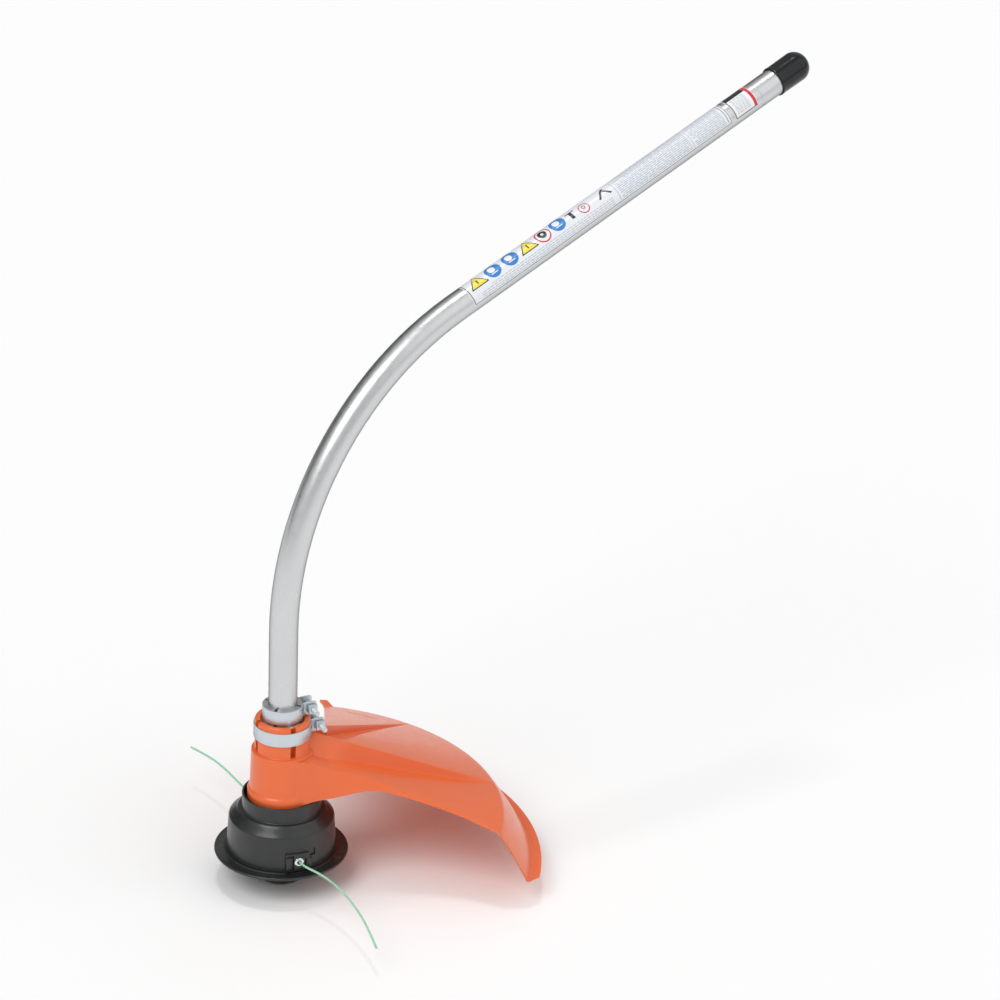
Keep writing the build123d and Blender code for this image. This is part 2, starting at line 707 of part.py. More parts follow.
def clamp_band(inner_r, foot):
    """Sheet-metal band with two ears that stand out at the clamp's azimuth."""
    ear_side = (BAND_GAP + EAR_THICKNESS) / 2
    with BuildPart() as made:
        with BuildSketch(Plane.XY.offset(foot).rotated((0, 0, CLAMP_AZIMUTH))):
            Circle(inner_r + BAND_THICKNESS)
            with Locations((inner_r + BAND_THICKNESS, 0)):
                Rectangle(inner_r, BAND_GAP, mode=Mode.SUBTRACT)
            for side in (ear_side, -ear_side):
                with Locations((inner_r + EAR_REACH / 2, side)):
                    Rectangle(EAR_REACH, EAR_THICKNESS)
            Circle(inner_r, mode=Mode.SUBTRACT)
        extrude(amount=BAND_HEIGHT)
        with BuildSketch(across_plane(inner_r + EAR_REACH - SCREW_INSET, foot + BAND_HEIGHT / 2, 0)):
            Circle(SCREW_R)
        extrude(amount=BAND_GAP, both=True, mode=Mode.SUBTRACT)
    return made


def clamp_screw(inner_r, foot):
    """Screw through a band's ears, with its head on the far side."""
    radius = inner_r + EAR_REACH - SCREW_INSET
    height = foot + BAND_HEIGHT / 2
    head_side = BAND_GAP / 2 + EAR_THICKNESS
    with BuildPart() as made:
        with BuildSketch(across_plane(radius, height, head_side)):
            RegularPolygon(SCREW_HEAD_R, 6)
        extrude(amount=SCREW_HEAD)
        with BuildSketch(across_plane(radius, height, head_side)):
            Circle(SCREW_R)
        extrude(amount=-2 * head_side - NUT_HEIGHT - SCREW_OVERHANG)
    return made


def clamp_nut(inner_r, foot):
    """Square nut on the near side of a band's ears."""
    radius = inner_r + EAR_REACH - SCREW_INSET
    near_side = -BAND_GAP / 2 - EAR_THICKNESS
    with BuildPart() as made:
        with BuildSketch(across_plane(radius, foot + BAND_HEIGHT / 2, near_side)):
            Rectangle(NUT_SIZE, NUT_SIZE)
            Circle(SCREW_R, mode=Mode.SUBTRACT)
        extrude(amount=-NUT_HEIGHT)
    return made


small_clamp_band = clamp_band(NECK_R, SMALL_CLAMP_FOOT)
small_clamp_screw = clamp_screw(NECK_R, SMALL_CLAMP_FOOT)
small_clamp_nut = clamp_nut(NECK_R, SMALL_CLAMP_FOOT)
large_clamp_band = clamp_band(COLLAR_R, LARGE_CLAMP_FOOT)
large_clamp_screw = clamp_screw(COLLAR_R, LARGE_CLAMP_FOOT)
large_clamp_nut = clamp_nut(COLLAR_R, LARGE_CLAMP_FOOT)


# ---------------------------------------------------------------- cutting head

GRASS_PLATE_R = 26.0
HUB_R = 12.0
INSERT_R = 7.5
SPRING_BOSS_R = 9.3
BOSS_FOOT = 62.0
TROUGH = 73.0
HEAD_WALL = 2.5
BOSS_PLANE_R = 46.0
BOSS_WIDTH = 24.0
BOSS_HEIGHT = 16.0
EYELET_R = 2.7
EYELET_BORE_R = 1.6
EYELET_FLANGE_R = 4.0
EYELET_FLANGE = 1.2
EYELET_STEM = 6.5
EYELET_HOLE_DEPTH = 10.0
LATCH_DEPTH = 10.0
LATCH_WIDTH = 8.0
LATCH_FOOT = 43.5
LATCH_TOP = 50.0
latch_azimuths = [azimuth + LATCH_OFFSET for azimuth in EYELET_AZIMUTHS]

grass_plate = ring(THREAD_R, GRASS_PLATE_R, HEAD_TOP, SHOULDER_FOOT)
head_insert = ring(THREAD_R, INSERT_R, BOSS_FOOT, HEAD_TOP)

head_profile = [
    (HEAD_FOOT_R - HEAD_WALL, FLANGE_TOP),
    (HEAD_FOOT_R, FLANGE_TOP),
    (HEAD_SHOULDER_R, HEAD_SHOULDER),
    (RING_R, RING_FOOT),
    (RING_R, HEAD_TOP),
    (RING_INNER_R, HEAD_TOP),
    (RING_INNER_R, TROUGH),
    (HUB_R, TROUGH),
    (HUB_R, HEAD_TOP),
    (INSERT_R, HEAD_TOP),
    (INSERT_R, BOSS_FOOT),
    (SPRING_BOSS_R, BOSS_FOOT),
    (SPRING_BOSS_R, SPRING_TOP),
    (RING_INNER_R, SPRING_TOP),
    (RING_INNER_R + 1.4, SPRING_TOP - 1.8),
    (HEAD_SHOULDER_R - HEAD_WALL, HEAD_SHOULDER - 2.1),
]

with BuildPart() as head_housing:
    with BuildSketch(Plane.XZ):
        with BuildLine():
            Polyline(*head_profile, close=True)
        make_face()
    revolve(axis=Axis.Z)
    for azimuth in EYELET_AZIMUTHS:
        with BuildSketch(facing_plane(azimuth, BOSS_PLANE_R, EYELET_HEIGHT)):
            Rectangle(BOSS_WIDTH, BOSS_HEIGHT)
        extrude(amount=EYELET_FACE_R - BOSS_PLANE_R)
        with BuildSketch(facing_plane(azimuth, EYELET_FACE_R, EYELET_HEIGHT)):
            Circle(EYELET_R)
        extrude(amount=-EYELET_HOLE_DEPTH, mode=Mode.SUBTRACT)
    for azimuth in latch_azimuths:
        with BuildSketch(facing_plane(azimuth, EYELET_FACE_R + 1, (LATCH_FOOT + LATCH_TOP) / 2)):
            Rectangle(LATCH_WIDTH, LATCH_TOP - LATCH_FOOT)
        extrude(amount=-LATCH_DEPTH, mode=Mode.SUBTRACT)

with BuildPart() as line_eyelets:
    for azimuth in EYELET_AZIMUTHS:
        with BuildSketch(facing_plane(azimuth, EYELET_FACE_R, EYELET_HEIGHT)):
            Circle(EYELET_FLANGE_R)
            Circle(EYELET_BORE_R, mode=Mode.SUBTRACT)
        extrude(amount=EYELET_FLANGE)
        with BuildSketch(facing_plane(azimuth, EYELET_FACE_R, EYELET_HEIGHT)):
            Circle(EYELET_R)
            Circle(EYELET_BORE_R, mode=Mode.SUBTRACT)
        extrude(amount=-EYELET_STEM)

CAP_RING_R = 45.3
CAP_RING_INNER_R = 43.7
CAP_RING_TOP = 36.5
TONGUE_FOOT = 35.0
TONGUE_THICKNESS = 0.9
TAB_GAP = 0.4
FLANGE_ROUND = 0.8

with BuildPart() as head_cap:
    with BuildSketch(Plane.XY.offset(FLANGE_FOOT)):
        Circle(FLANGE_R)
        Circle(CAP_HOLE_R, mode=Mode.SUBTRACT)
    extrude(amount=FLANGE_TOP - FLANGE_FOOT)
    with BuildSketch(Plane.XY.offset(FLANGE_TOP)):
        Circle(CAP_RING_R)
        Circle(CAP_RING_INNER_R, mode=Mode.SUBTRACT)
    extrude(amount=CAP_RING_TOP - FLANGE_TOP)
    # two tongues that reach up inside the housing and hook out into its windows
    for azimuth in latch_azimuths:
        with BuildSketch(facing_plane(azimuth, CAP_RING_INNER_R, (TONGUE_FOOT + LATCH_TOP - TAB_GAP) / 2)):
            Rectangle(LATCH_WIDTH - 2 * TAB_GAP, LATCH_TOP - TAB_GAP - TONGUE_FOOT)
        extrude(amount=TONGUE_THICKNESS)
        with BuildSketch(facing_plane(azimuth, CAP_RING_INNER_R, (LATCH_FOOT + LATCH_TOP) / 2)):
            Rectangle(LATCH_WIDTH - 2 * TAB_GAP, LATCH_TOP - LATCH_FOOT - 2 * TAB_GAP)
        extrude(amount=HEAD_SHOULDER_R - CAP_RING_INNER_R)
    rim_edges = edges().filter_by(GeomType.CIRCLE).filter_by(lambda edge: edge.radius > FLANGE_R - 0.1)
    fillet(rim_edges, radius=FLANGE_ROUND)

SPRING_SEAT = 40.0
SEAT_HOLE_R = 6.5
SPOOL_BORE_R = 12.4
SPOOL_FLANGE = 2.0
SPOOL_TOP = 52.0
SPOOL_MIDDLE = 40.4
SPOOL_DIVIDER = 1.4
SEAT_GAP = 0.6
SEAT_SHELF = 2.0

with BuildPart() as spool:
    with BuildSketch(Plane.XZ):
        with BuildLine():
            Polyline(
                (SPOOL_BORE_R, SPOOL_FOOT),
                (SPOOL_R, SPOOL_FOOT),
                (SPOOL_R, SPOOL_FOOT + SPOOL_FLANGE),
                (SPOOL_CORE_R, SPOOL_FOOT + SPOOL_FLANGE),
                (SPOOL_CORE_R, SPOOL_MIDDLE),
                (SPOOL_R, SPOOL_MIDDLE),
                (SPOOL_R, SPOOL_MIDDLE + SPOOL_DIVIDER),
                (SPOOL_CORE_R, SPOOL_MIDDLE + SPOOL_DIVIDER),
                (SPOOL_CORE_R, SPOOL_TOP - SPOOL_FLANGE),
                (SPOOL_R, SPOOL_TOP - SPOOL_FLANGE),
                (SPOOL_R, SPOOL_TOP),
                (SPOOL_BORE_R + SEAT_GAP, SPOOL_TOP),
                (SPOOL_BORE_R + SEAT_GAP, SPRING_SEAT),
                (SEAT_HOLE_R, SPRING_SEAT),
                (SEAT_HOLE_R, SPRING_SEAT - SEAT_SHELF),
                (SPOOL_BORE_R, SPRING_SEAT - SEAT_SHELF),
                close=True,
            )
        make_face()
    revolve(axis=Axis.Z)

WOUND_R = 35.0
lower_winding = (SPOOL_FOOT + SPOOL_FLANGE, SPOOL_MIDDLE)
upper_winding = (SPOOL_MIDDLE + SPOOL_DIVIDER, SPOOL_TOP - SPOOL_FLANGE)

with BuildPart() as wound_line:
    for foot, top in (lower_winding, upper_winding):
        with BuildSketch(Plane.XY.offset(foot)):
            Circle(WOUND_R)
            Circle(SPOOL_CORE_R, mode=Mode.SUBTRACT)
        extrude(amount=top - foot)

spring_seat = ring(SEAT_HOLE_R, SPOOL_BORE_R, SPRING_SEAT, SPRING_FOOT)

with BuildPart() as bump_spring:
    spring_height = SPRING_TOP - SPRING_FOOT - 2 * SPRING_WIRE_R
    with BuildLine(Plane.XY.offset(SPRING_FOOT + SPRING_WIRE_R)):
        coil = Helix(pitch=spring_height / SPRING_TURNS, height=spring_height, radius=SPRING_R)
    with BuildSketch(Plane(origin=coil @ 0, z_dir=coil % 0)):
        Circle(SPRING_WIRE_R)
    sweep(path=coil, is_frenet=True)

KNOB_WALL = 2.6
KNOB_FACE_R = 17.0
KNOB_SHOULDER = 20.0
STEM_R = SPOOL_BORE_R
STEM_BORE_R = 10.0
STEM_TOP = SPRING_SEAT - SEAT_SHELF

with BuildPart() as bump_knob:
    # a cup whose face rounds up into its wall, with a stem inside that carries the spool
    with BuildSketch(Plane.XZ):
        with BuildLine():
            Line((0, 0), (KNOB_FACE_R, 0))
            ThreePointArc((KNOB_FACE_R, 0), (21.2, 3.2), (23.2, 9.5))
            Polyline(
                (23.2, 9.5),
                (KNOB_R, KNOB_SHOULDER),
                (KNOB_R, SPOOL_FOOT),
                (KNOB_R - KNOB_WALL, SPOOL_FOOT),
                (KNOB_R - KNOB_WALL, KNOB_SHOULDER),
                (20.4, 10.4),
            )
            ThreePointArc((20.4, 10.4), (17.8, 5.6), (STEM_R, KNOB_WALL))
            Polyline(
                (STEM_R, KNOB_WALL),
                (STEM_R, STEM_TOP),
                (STEM_BORE_R, STEM_TOP),
                (STEM_BORE_R, KNOB_WALL),
                (0, KNOB_WALL),
                (0, 0),
            )
        make_face()
    revolve(axis=Axis.Z)

# cutting line: each end leaves its eyelet straight and curls away under its own set
line_routes = {
    "line_tip_a": [
        (-13.4, -41.4, 41.0),
        (-17.3, -53.3, 41.0),
        (-11.5, -75.5, 40.3),
        (-10.6, -102.5, 38.2),
        (-15.0, -130.5, 34.8),
        (-21.8, -157.0, 30.2),
        (-31.0, -181.5, 25.0),
    ],
    "line_tip_b": [
        (13.4, 41.4, 41.0),
        (17.3, 53.3, 41.0),
        (20.3, 77.0, 41.3),
        (24.6, 103.0, 41.1),
        (29.6, 130.5, 40.6),
        (31.8, 158.0, 39.9),
        (29.2, 183.8, 39.0),
    ],
}

# how much of the shorter run beside a corner its arc takes up
CORNER_SHARE = 0.45


def corner_radii(route):
    """Radius at each inner corner of a route, as large as its two runs allow."""
    points = [Vector(point) for point in route]
    radii = []
    for before, corner, after in zip(points, points[1:], points[2:]):
        run = min((corner - before).length, (after - corner).length)
        turn = (corner - before).get_angle(after - corner)
        radii.append(CORNER_SHARE * run / tan(radians(turn) / 2))
    return radii


def line_tip(route):
    """Round tube of cutting line along a route."""
    with BuildPart() as made:
        with BuildLine():
            path = FilletPolyline(*route, radius=corner_radii(route))
        with BuildSketch(Plane(origin=path @ 0, z_dir=path % 0)):
            Circle(LINE_R)
        sweep(path=path)
    return made


line_tips = {name: line_tip(route) for name, route in line_routes.items()}
for name, route in line_routes.items():
    print(name, "corner radii", [round(radius, 1) for radius in corner_radii(route)])


# ---------------------------------------------------------------- write the pieces

pieces = {
    "drive_tube": drive_tube,
    "shaft_liner": shaft_liner,
    "flexible_shaft": flexible_shaft,
    "top_bush": top_bush,
    "drive_connector": drive_connector,
    "tube_end_cap": tube_end_cap,
    "tube_label": tube_label,
    "coupling_label": coupling_label,
    "bearing_housing": bearing_housing,
    "housing_circlip": housing_circlip,
    "lower_outer_race": lower_outer_race,
    "upper_outer_race": upper_outer_race,
    "lower_inner_race": lower_inner_race,
    "upper_inner_race": upper_inner_race,
    "lower_bearing_balls": lower_bearing_balls,
    "upper_bearing_balls": upper_bearing_balls,
    "lower_ball_cage": lower_ball_cage,
    "upper_ball_cage": upper_ball_cage,
    "bearing_spacer": bearing_spacer,
    "spindle": spindle,
    "spindle_circlip": spindle_circlip,
    "shaft_ferrule": shaft_ferrule,
    "guard": guard,
    "line_cutter_blade": line_cutter_blade,
    "blade_screws": blade_screws,
    "small_clamp_band": small_clamp_band,
    "small_clamp_screw": small_clamp_screw,
    "small_clamp_nut": small_clamp_nut,
    "large_clamp_band": large_clamp_band,
    "large_clamp_screw": large_clamp_screw,
    "large_clamp_nut": large_clamp_nut,
    "grass_plate": grass_plate,
    "head_insert": head_insert,
    "head_housing": head_housing,
    "line_eyelets": line_eyelets,
    "head_cap": head_cap,
    "spool": spool,
    "wound_line": wound_line,
    "spring_seat": spring_seat,
    "bump_spring": bump_spring,
    "bump_knob": bump_knob,
    "line_tip_a": line_tips["line_tip_a"],
    "line_tip_b": line_tips["line_tip_b"],
}

for name, piece in pieces.items():
    piece.part.label = name
    export_step(piece.part, f"parts/{name}.step")
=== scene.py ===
import math
import random

import bmesh
import bpy
from mathutils import Matrix, Vector


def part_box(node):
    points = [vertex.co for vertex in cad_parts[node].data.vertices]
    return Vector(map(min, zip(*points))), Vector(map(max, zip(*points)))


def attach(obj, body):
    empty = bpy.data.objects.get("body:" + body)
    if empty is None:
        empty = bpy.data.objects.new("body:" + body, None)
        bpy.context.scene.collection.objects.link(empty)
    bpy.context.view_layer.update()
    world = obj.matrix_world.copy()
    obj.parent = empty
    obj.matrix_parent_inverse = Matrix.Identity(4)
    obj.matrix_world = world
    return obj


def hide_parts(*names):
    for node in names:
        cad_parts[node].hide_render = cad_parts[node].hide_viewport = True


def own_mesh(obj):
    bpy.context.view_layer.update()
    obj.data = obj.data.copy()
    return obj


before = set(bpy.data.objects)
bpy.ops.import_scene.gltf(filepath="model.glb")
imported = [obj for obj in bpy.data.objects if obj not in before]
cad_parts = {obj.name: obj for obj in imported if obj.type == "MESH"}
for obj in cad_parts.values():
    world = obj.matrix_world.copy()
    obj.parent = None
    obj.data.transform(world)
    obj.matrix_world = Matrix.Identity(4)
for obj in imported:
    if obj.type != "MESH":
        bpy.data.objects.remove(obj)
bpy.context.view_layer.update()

# The looks of a string trimmer attachment: tube, clamps, guard, line head and printed films.
# Sizes are in metres, written as millimetres times MM. Z is the head's spin axis, and the tube
# leans towards +X. Azimuths are degrees from +X about Z.
MM = 0.001


# ---- camera

CAMERA_TARGET = Vector((0.2240, -0.0175, 0.3171))
CAMERA_AZIMUTH = -129.9
CAMERA_ELEVATION = 24.4
CAMERA_DISTANCE = 3.2
CAMERA_ROLL = 2.21
CAMERA_LENS = 129.2


def add_object(name, data):
    """New object in the scene."""
    made = bpy.data.objects.new(name, data)
    bpy.context.scene.collection.objects.link(made)
    return made


def direction(azimuth, elevation):
    """Unit vector towards an azimuth and an elevation."""
    turn, tilt = math.radians(azimuth), math.radians(elevation)
    return Vector((math.cos(tilt) * math.cos(turn), math.cos(tilt) * math.sin(turn), math.sin(tilt)))


def looking_back(away):
    """Matrix of a camera or a light that looks back along a direction."""
    return (-away).to_track_quat("-Z", "Y").to_matrix().to_4x4()


def add_camera():
    """Camera that stands off the target at an azimuth and an elevation, rolled a little."""
    data = bpy.data.cameras.new("camera")
    data.lens = CAMERA_LENS
    data.sensor_width = 36.0
    data.clip_end = 50.0
    camera = add_object("camera", data)
    away = direction(CAMERA_AZIMUTH, CAMERA_ELEVATION)
    stand = Matrix.Translation(CAMERA_TARGET + away * CAMERA_DISTANCE)
    roll = Matrix.Rotation(math.radians(CAMERA_ROLL), 4, "Z")
    camera.matrix_world = stand @ looking_back(away) @ roll
    bpy.context.scene.camera = camera


add_camera()


# ---- materials

def set_inputs(node, values):
    """Sets inputs of a shader node by their names."""
    for name, value in values.items():
        node.inputs[name].default_value = value


def node_material(name, colour, roughness, metallic=0.0, mottle=0.04, mottle_scale=30.0,
                  spread=0.05, spread_scale=200.0, grain=0.1, grain_scale=1500.0, coat=0.0,
                  specular=0.5, edge=1.0, subsurface=0.0):
    """Procedural material: mottled colour, uneven roughness and a fine grain in its bump."""
    made = bpy.data.materials.new(name)
    made.use_nodes = True
    nodes, links = made.node_tree.nodes, made.node_tree.links
    shader = nodes["Principled BSDF"]
    set_inputs(shader, {"Metallic": metallic, "Coat Weight": coat, "Coat Roughness": 0.12,
                        "Specular IOR Level": specular, "Specular Tint": (edge, edge, edge, 1.0)})
    if subsurface:
        set_inputs(shader, {"Subsurface Weight": subsurface, "Subsurface Scale": 2.0 * MM})
    place = nodes.new("ShaderNodeTexCoord")

    def noise(scale, detail):
        texture = nodes.new("ShaderNodeTexNoise")
        set_inputs(texture, {"Scale": scale, "Detail": detail})
        links.new(place.outputs["Object"], texture.inputs["Vector"])
        return texture.outputs["Fac"]

    mix = nodes.new("ShaderNodeMix")
    mix.data_type = "RGBA"
    mix.inputs["A"].default_value = [c * (1 - mottle) for c in colour] + [1.0]
    mix.inputs["B"].default_value = [min(1.0, c * (1 + mottle)) for c in colour] + [1.0]
    links.new(noise(mottle_scale, 4.0), mix.inputs["Factor"])
    links.new(mix.outputs["Result"], shader.inputs["Base Color"])
    rough = nodes.new("ShaderNodeMapRange")
    low, high = max(0.02, roughness - spread), min(1.0, roughness + spread)
    set_inputs(rough, {"From Min": 0.3, "From Max": 0.7, "To Min": low, "To Max": high})
    links.new(noise(spread_scale, 3.0), rough.inputs["Value"])
    links.new(rough.outputs["Result"], shader.inputs["Roughness"])
    bump = nodes.new("ShaderNodeBump")
    set_inputs(bump, {"Strength": grain, "Distance": 0.3 * MM})
    links.new(noise(grain_scale, 2.0), bump.inputs["Height"])
    links.new(bump.outputs["Normal"], shader.inputs["Normal"])
    return made


ALUMINIUM = node_material("satin_aluminium", (0.66, 0.67, 0.675), 0.32, metallic=0.94, edge=0.15,
                          mottle=0.03, mottle_scale=60, grain=0.06, grain_scale=2500)
CASTING = node_material("cast_alloy", (0.50, 0.51, 0.52), 0.45, metallic=0.9, grain=0.35, grain_scale=900)
ZINC = node_material("bright_zinc", (0.62, 0.68, 0.72), 0.34, metallic=0.75, mottle=0.04, edge=0.5,
                     mottle_scale=120, spread=0.04, spread_scale=350, grain=0.03, grain_scale=900)
STEEL = node_material("ground_steel", (0.55, 0.56, 0.57), 0.25, metallic=1.0, mottle=0.05)
BRONZE = node_material("sintered_bronze", (0.55, 0.36, 0.17), 0.42, metallic=1.0, mottle=0.08, grain=0.3)
ORANGE = node_material("orange_plastic", (0.81, 0.14, 0.03), 0.34, mottle=0.035, mottle_scale=22,
                       spread=0.04, spread_scale=140, grain=0.04, grain_scale=1800, coat=0.25)
BLACK = node_material("black_nylon", (0.014, 0.015, 0.015), 0.38, mottle=0.15, mottle_scale=60,
                      spread=0.07, spread_scale=160, grain=0.16, grain_scale=1500, coat=0.25)
GLOSS_BLACK = node_material("gloss_vinyl", (0.007, 0.008, 0.009), 0.14, mottle=0.1, mottle_scale=60,
                            spread=0.03, spread_scale=90, grain=0.03, grain_scale=160, specular=0.38)
EYELET = node_material("polished_eyelet", (0.80, 0.81, 0.82), 0.14, metallic=1.0, mottle=0.05)
LINE = node_material("green_nylon", (0.33, 0.66, 0.46), 0.30, mottle=0.16, mottle_scale=160,
                     grain=0.12, grain_scale=900, subsurface=0.3)
LINER = node_material("liner_plastic", (0.02, 0.02, 0.022), 0.5)
FILM = node_material("label_film", (0.78, 0.81, 0.85), 0.30, mottle=0.015, mottle_scale=40,
                     grain=0.04, grain_scale=2500, coat=0.25)
INK_BLACK = node_material("ink_black", (0.02, 0.022, 0.025), 0.35, mottle=0.1)
INK_GREY = node_material("ink_grey", (0.28, 0.30, 0.34), 0.38, mottle=0.12, mottle_scale=300)
INK_PALE = node_material("ink_pale", (0.43, 0.47, 0.54), 0.38, mottle=0.1, mottle_scale=300)
INK_YELLOW = node_material("ink_yellow", (0.87, 0.72, 0.08), 0.34)
INK_BLUE = node_material("ink_blue", (0.035, 0.22, 0.58), 0.34)
INK_RED = node_material("ink_red", (0.66, 0.02, 0.035), 0.34)
INK_WHITE = node_material("ink_white", (0.84, 0.86, 0.88), 0.34)


def paint(piece, *materials):
    """Gives a piece its materials, in place of any that it has."""
    piece.data.materials.clear()
    for each in materials:
        piece.data.materials.append(each)


def paint_nodes(material, *names):
    """Gives carried-over CAD nodes a material."""
    for name in names:
        paint(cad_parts[name], material)


# ---- helpers

LATHE_STEPS = 180
SHARP_ANGLE = 50.0

def polar(radius, azimuth, height=0.0):
    """Point at a radius, an azimuth and a height."""
    turn = math.radians(azimuth)
    return Vector((radius * math.cos(turn), radius * math.sin(turn), height))


def azimuth_of(point):
    """Azimuth of a plan point, in degrees."""
    return math.degrees(math.atan2(point[1], point[0]))


def smooth(points, x):
    """Value at x of a smooth curve through (x, y) points, held level past its ends."""
    if x <= points[0][0]:
        return points[0][1]
    if x >= points[-1][0]:
        return points[-1][1]
    slopes = []
    for i in range(len(points)):
        low, high = points[max(0, i - 1)], points[min(len(points) - 1, i + 1)]
        slopes.append((high[1] - low[1]) / (high[0] - low[0]))
    for i in range(len(points) - 1):
        (x0, y0), (x1, y1) = points[i], points[i + 1]
        if x0 <= x <= x1:
            width = x1 - x0
            t = (x - x0) / width
            return (
                (2 * t**3 - 3 * t**2 + 1) * y0
                + (t**3 - 2 * t**2 + t) * width * slopes[i]
                + (3 * t**2 - 2 * t**3) * y1
                + (t**3 - t**2) * width * slopes[i + 1]
            )


def rounded(before, here, after, rounding, share, steps):
    """Points of a rounded corner, which takes at most a share of the stretches beside it."""
    back, onward = before - here, after - here
    reach = min(rounding, share * back.length, share * onward.length)
    start, end = here + back.normalized() * reach, here + onward.normalized() * reach
    return [
        start * (1 - t) ** 2 + here * (2 * t * (1 - t)) + end * t**2
        for t in (step / steps for step in range(steps + 1))
    ]


def outline(corners, steps=5):
    """Points of a closed outline of (x, y) or (x, y, rounding) corners."""
    made = []
    for i, corner in enumerate(corners):
        here = Vector(corner[:2])
        if len(corner) == 2:
            made.append(here)
            continue
        before, after = Vector(corners[i - 1][:2]), Vector(corners[(i + 1) % len(corners)][:2])
        made += rounded(before, here, after, corner[2], 0.48, steps)
    return made


def link(name, mesh, *materials):
    """New object in the scene from a mesh, with its materials."""
    made = add_object(name, mesh)
    for each in materials:
        made.data.materials.append(each)
    return made


def from_bmesh(name, shape, *materials):
    """New object from a bmesh, with its faces turned outwards and shaded smooth."""
    bmesh.ops.recalc_face_normals(shape, faces=shape.faces)
    mesh = bpy.data.meshes.new(name)
    shape.to_mesh(mesh)
    shape.free()
    smooth_faces(mesh)
    return link(name, mesh, *materials)


def smooth_faces(mesh, angle=32.0):
    """Smooth shading, with edges sharper than an angle kept sharp."""
    mesh.polygons.foreach_set("use_smooth", [True] * len(mesh.polygons))
    mesh.set_sharp_from_angle(angle=math.radians(angle))


def grid(shape, rows, closed=False, material=0):
    """Faces between rows of points, each row as long as the next."""
    verts = [[shape.verts.new(point) for point in row] for row in rows]
    columns = len(rows[0])
    for low, high in zip(verts, verts[1:]):
        for i in range(columns if closed else columns - 1):
            j = (i + 1) % columns
            face = shape.faces.new((low[i], low[j], high[j], high[i]))
            face.material_index = material
    return verts


def sweep(shape, rows):
    """Closed solid through rows that go round it, with a face over its first and its last row."""
    verts = grid(shape, rows, closed=True)
    shape.faces.new(verts[0])
    shape.faces.new(verts[-1])


def move(shape, matrix):
    """Moves all of a bmesh by a matrix."""
    bmesh.ops.transform(shape, matrix=matrix, verts=shape.verts)


def ease(shape, width, segments=2):
    """Rounds every edge of a bmesh."""
    edges = list(shape.edges)
    bmesh.ops.bevel(shape, geom=edges, offset=width, segments=segments, affect="EDGES", profile=0.5)


def turn_profile(shape, points, steps):
    """Closed solid turned about Z from a closed outline of (radius, height)."""
    rows = []
    for step in range(steps):
        turn = 2 * math.pi * step / steps
        rows.append([
            Vector((radius * math.cos(turn), radius * math.sin(turn), height))
            for radius, height in points
        ])
    rows.append(rows[0])
    grid(shape, rows, closed=True)
    bmesh.ops.remove_doubles(shape, verts=shape.verts, dist=1e-6)
    bmesh.ops.dissolve_degenerate(shape, edges=shape.edges, dist=1e-7)


def lathe(name, corners, material):
    """Piece turned about the spin axis from (radius, height, rounding) corners."""
    shape = bmesh.new()
    turn_profile(shape, outline(corners), LATHE_STEPS)
    return from_bmesh(name, shape, material)


def placed(shape_function, matrix, *sizes):
    """New bmesh of a shape function, moved by a matrix."""
    shape = bmesh.new()
    shape_function(shape, *sizes)
    move(shape, matrix)
    return shape


def block(shape, depth, width, height):
    """Box centred on the origin."""
    bmesh.ops.create_cube(shape, size=1.0)
    bmesh.ops.scale(shape, vec=(depth, width, height), verts=shape.verts)


def rod(shape, radius, length, steps=32):
    """Round rod up Z from the origin."""
    bmesh.ops.create_cone(shape, cap_ends=True, segments=steps, radius1=radius, radius2=radius,
                          depth=length)
    bmesh.ops.translate(shape, vec=(0, 0, length / 2), verts=shape.verts)


def facing(azimuth, radius, height, side=0.0):
    """Matrix whose X looks outwards at an azimuth, with Y sideways and Z up, shifted sideways."""
    turn = Matrix.Rotation(math.radians(azimuth), 4, "Z")
    return Matrix.Translation(polar(radius, azimuth, height)) @ turn @ Matrix.Translation((0, side, 0))


def cut(piece, cutters, operation="DIFFERENCE"):
    """Booleans a list of closed bmeshes with a piece."""
    for shape in cutters:
        tool = from_bmesh("tool", shape)
        change = piece.modifiers.new("cut", "BOOLEAN")
        change.operation = operation
        change.solver = "EXACT"
        change.object = tool
        apply_modifiers(piece)
        bpy.data.objects.remove(tool)


def apply_modifiers(piece):
    """Bakes a piece's modifiers into its mesh."""
    graph = bpy.context.evaluated_depsgraph_get()
    mesh = bpy.data.meshes.new_from_object(piece.evaluated_get(graph))
    piece.modifiers.clear()
    piece.data = mesh


def soften(piece, width):
    """Rounds a piece's sharp edges."""
    bevel = piece.modifiers.new("bevel", "BEVEL")
    bevel.width = width
    bevel.segments = 2
    bevel.limit_method = "ANGLE"
    bevel.angle_limit = math.radians(SHARP_ANGLE)
    apply_modifiers(piece)
    smooth_faces(piece.data, 40.0)


def settle(piece, body, slot, *nodes):
    """Says which body a piece rides on, and the CAD nodes that it stands for. The slot, its finish, is not
    used.
    """
    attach(piece, body)
    if nodes:
        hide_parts(*nodes)


# ---- cutting line

LINE_RADIUS = 1.0 * MM

# each end leaves its eyelet straight and curls away under its own set
LINE_ROUTES = {
    "a": [
        (-0.0134, -0.0414, 0.0410),
        (-0.0173, -0.0533, 0.0410),
        (-0.0115, -0.0755, 0.0403),
        (-0.0106, -0.1025, 0.0382),
        (-0.0150, -0.1305, 0.0348),
        (-0.0218, -0.1570, 0.0302),
        (-0.0310, -0.1815, 0.0250),
    ],
    "b": [
        (0.0134, 0.0414, 0.0410),
        (0.0173, 0.0533, 0.0410),
        (0.0203, 0.0770, 0.0413),
        (0.0246, 0.1030, 0.0411),
        (0.0296, 0.1305, 0.0406),
        (0.0318, 0.1580, 0.0399),
        (0.0292, 0.1838, 0.0390),
    ],
}


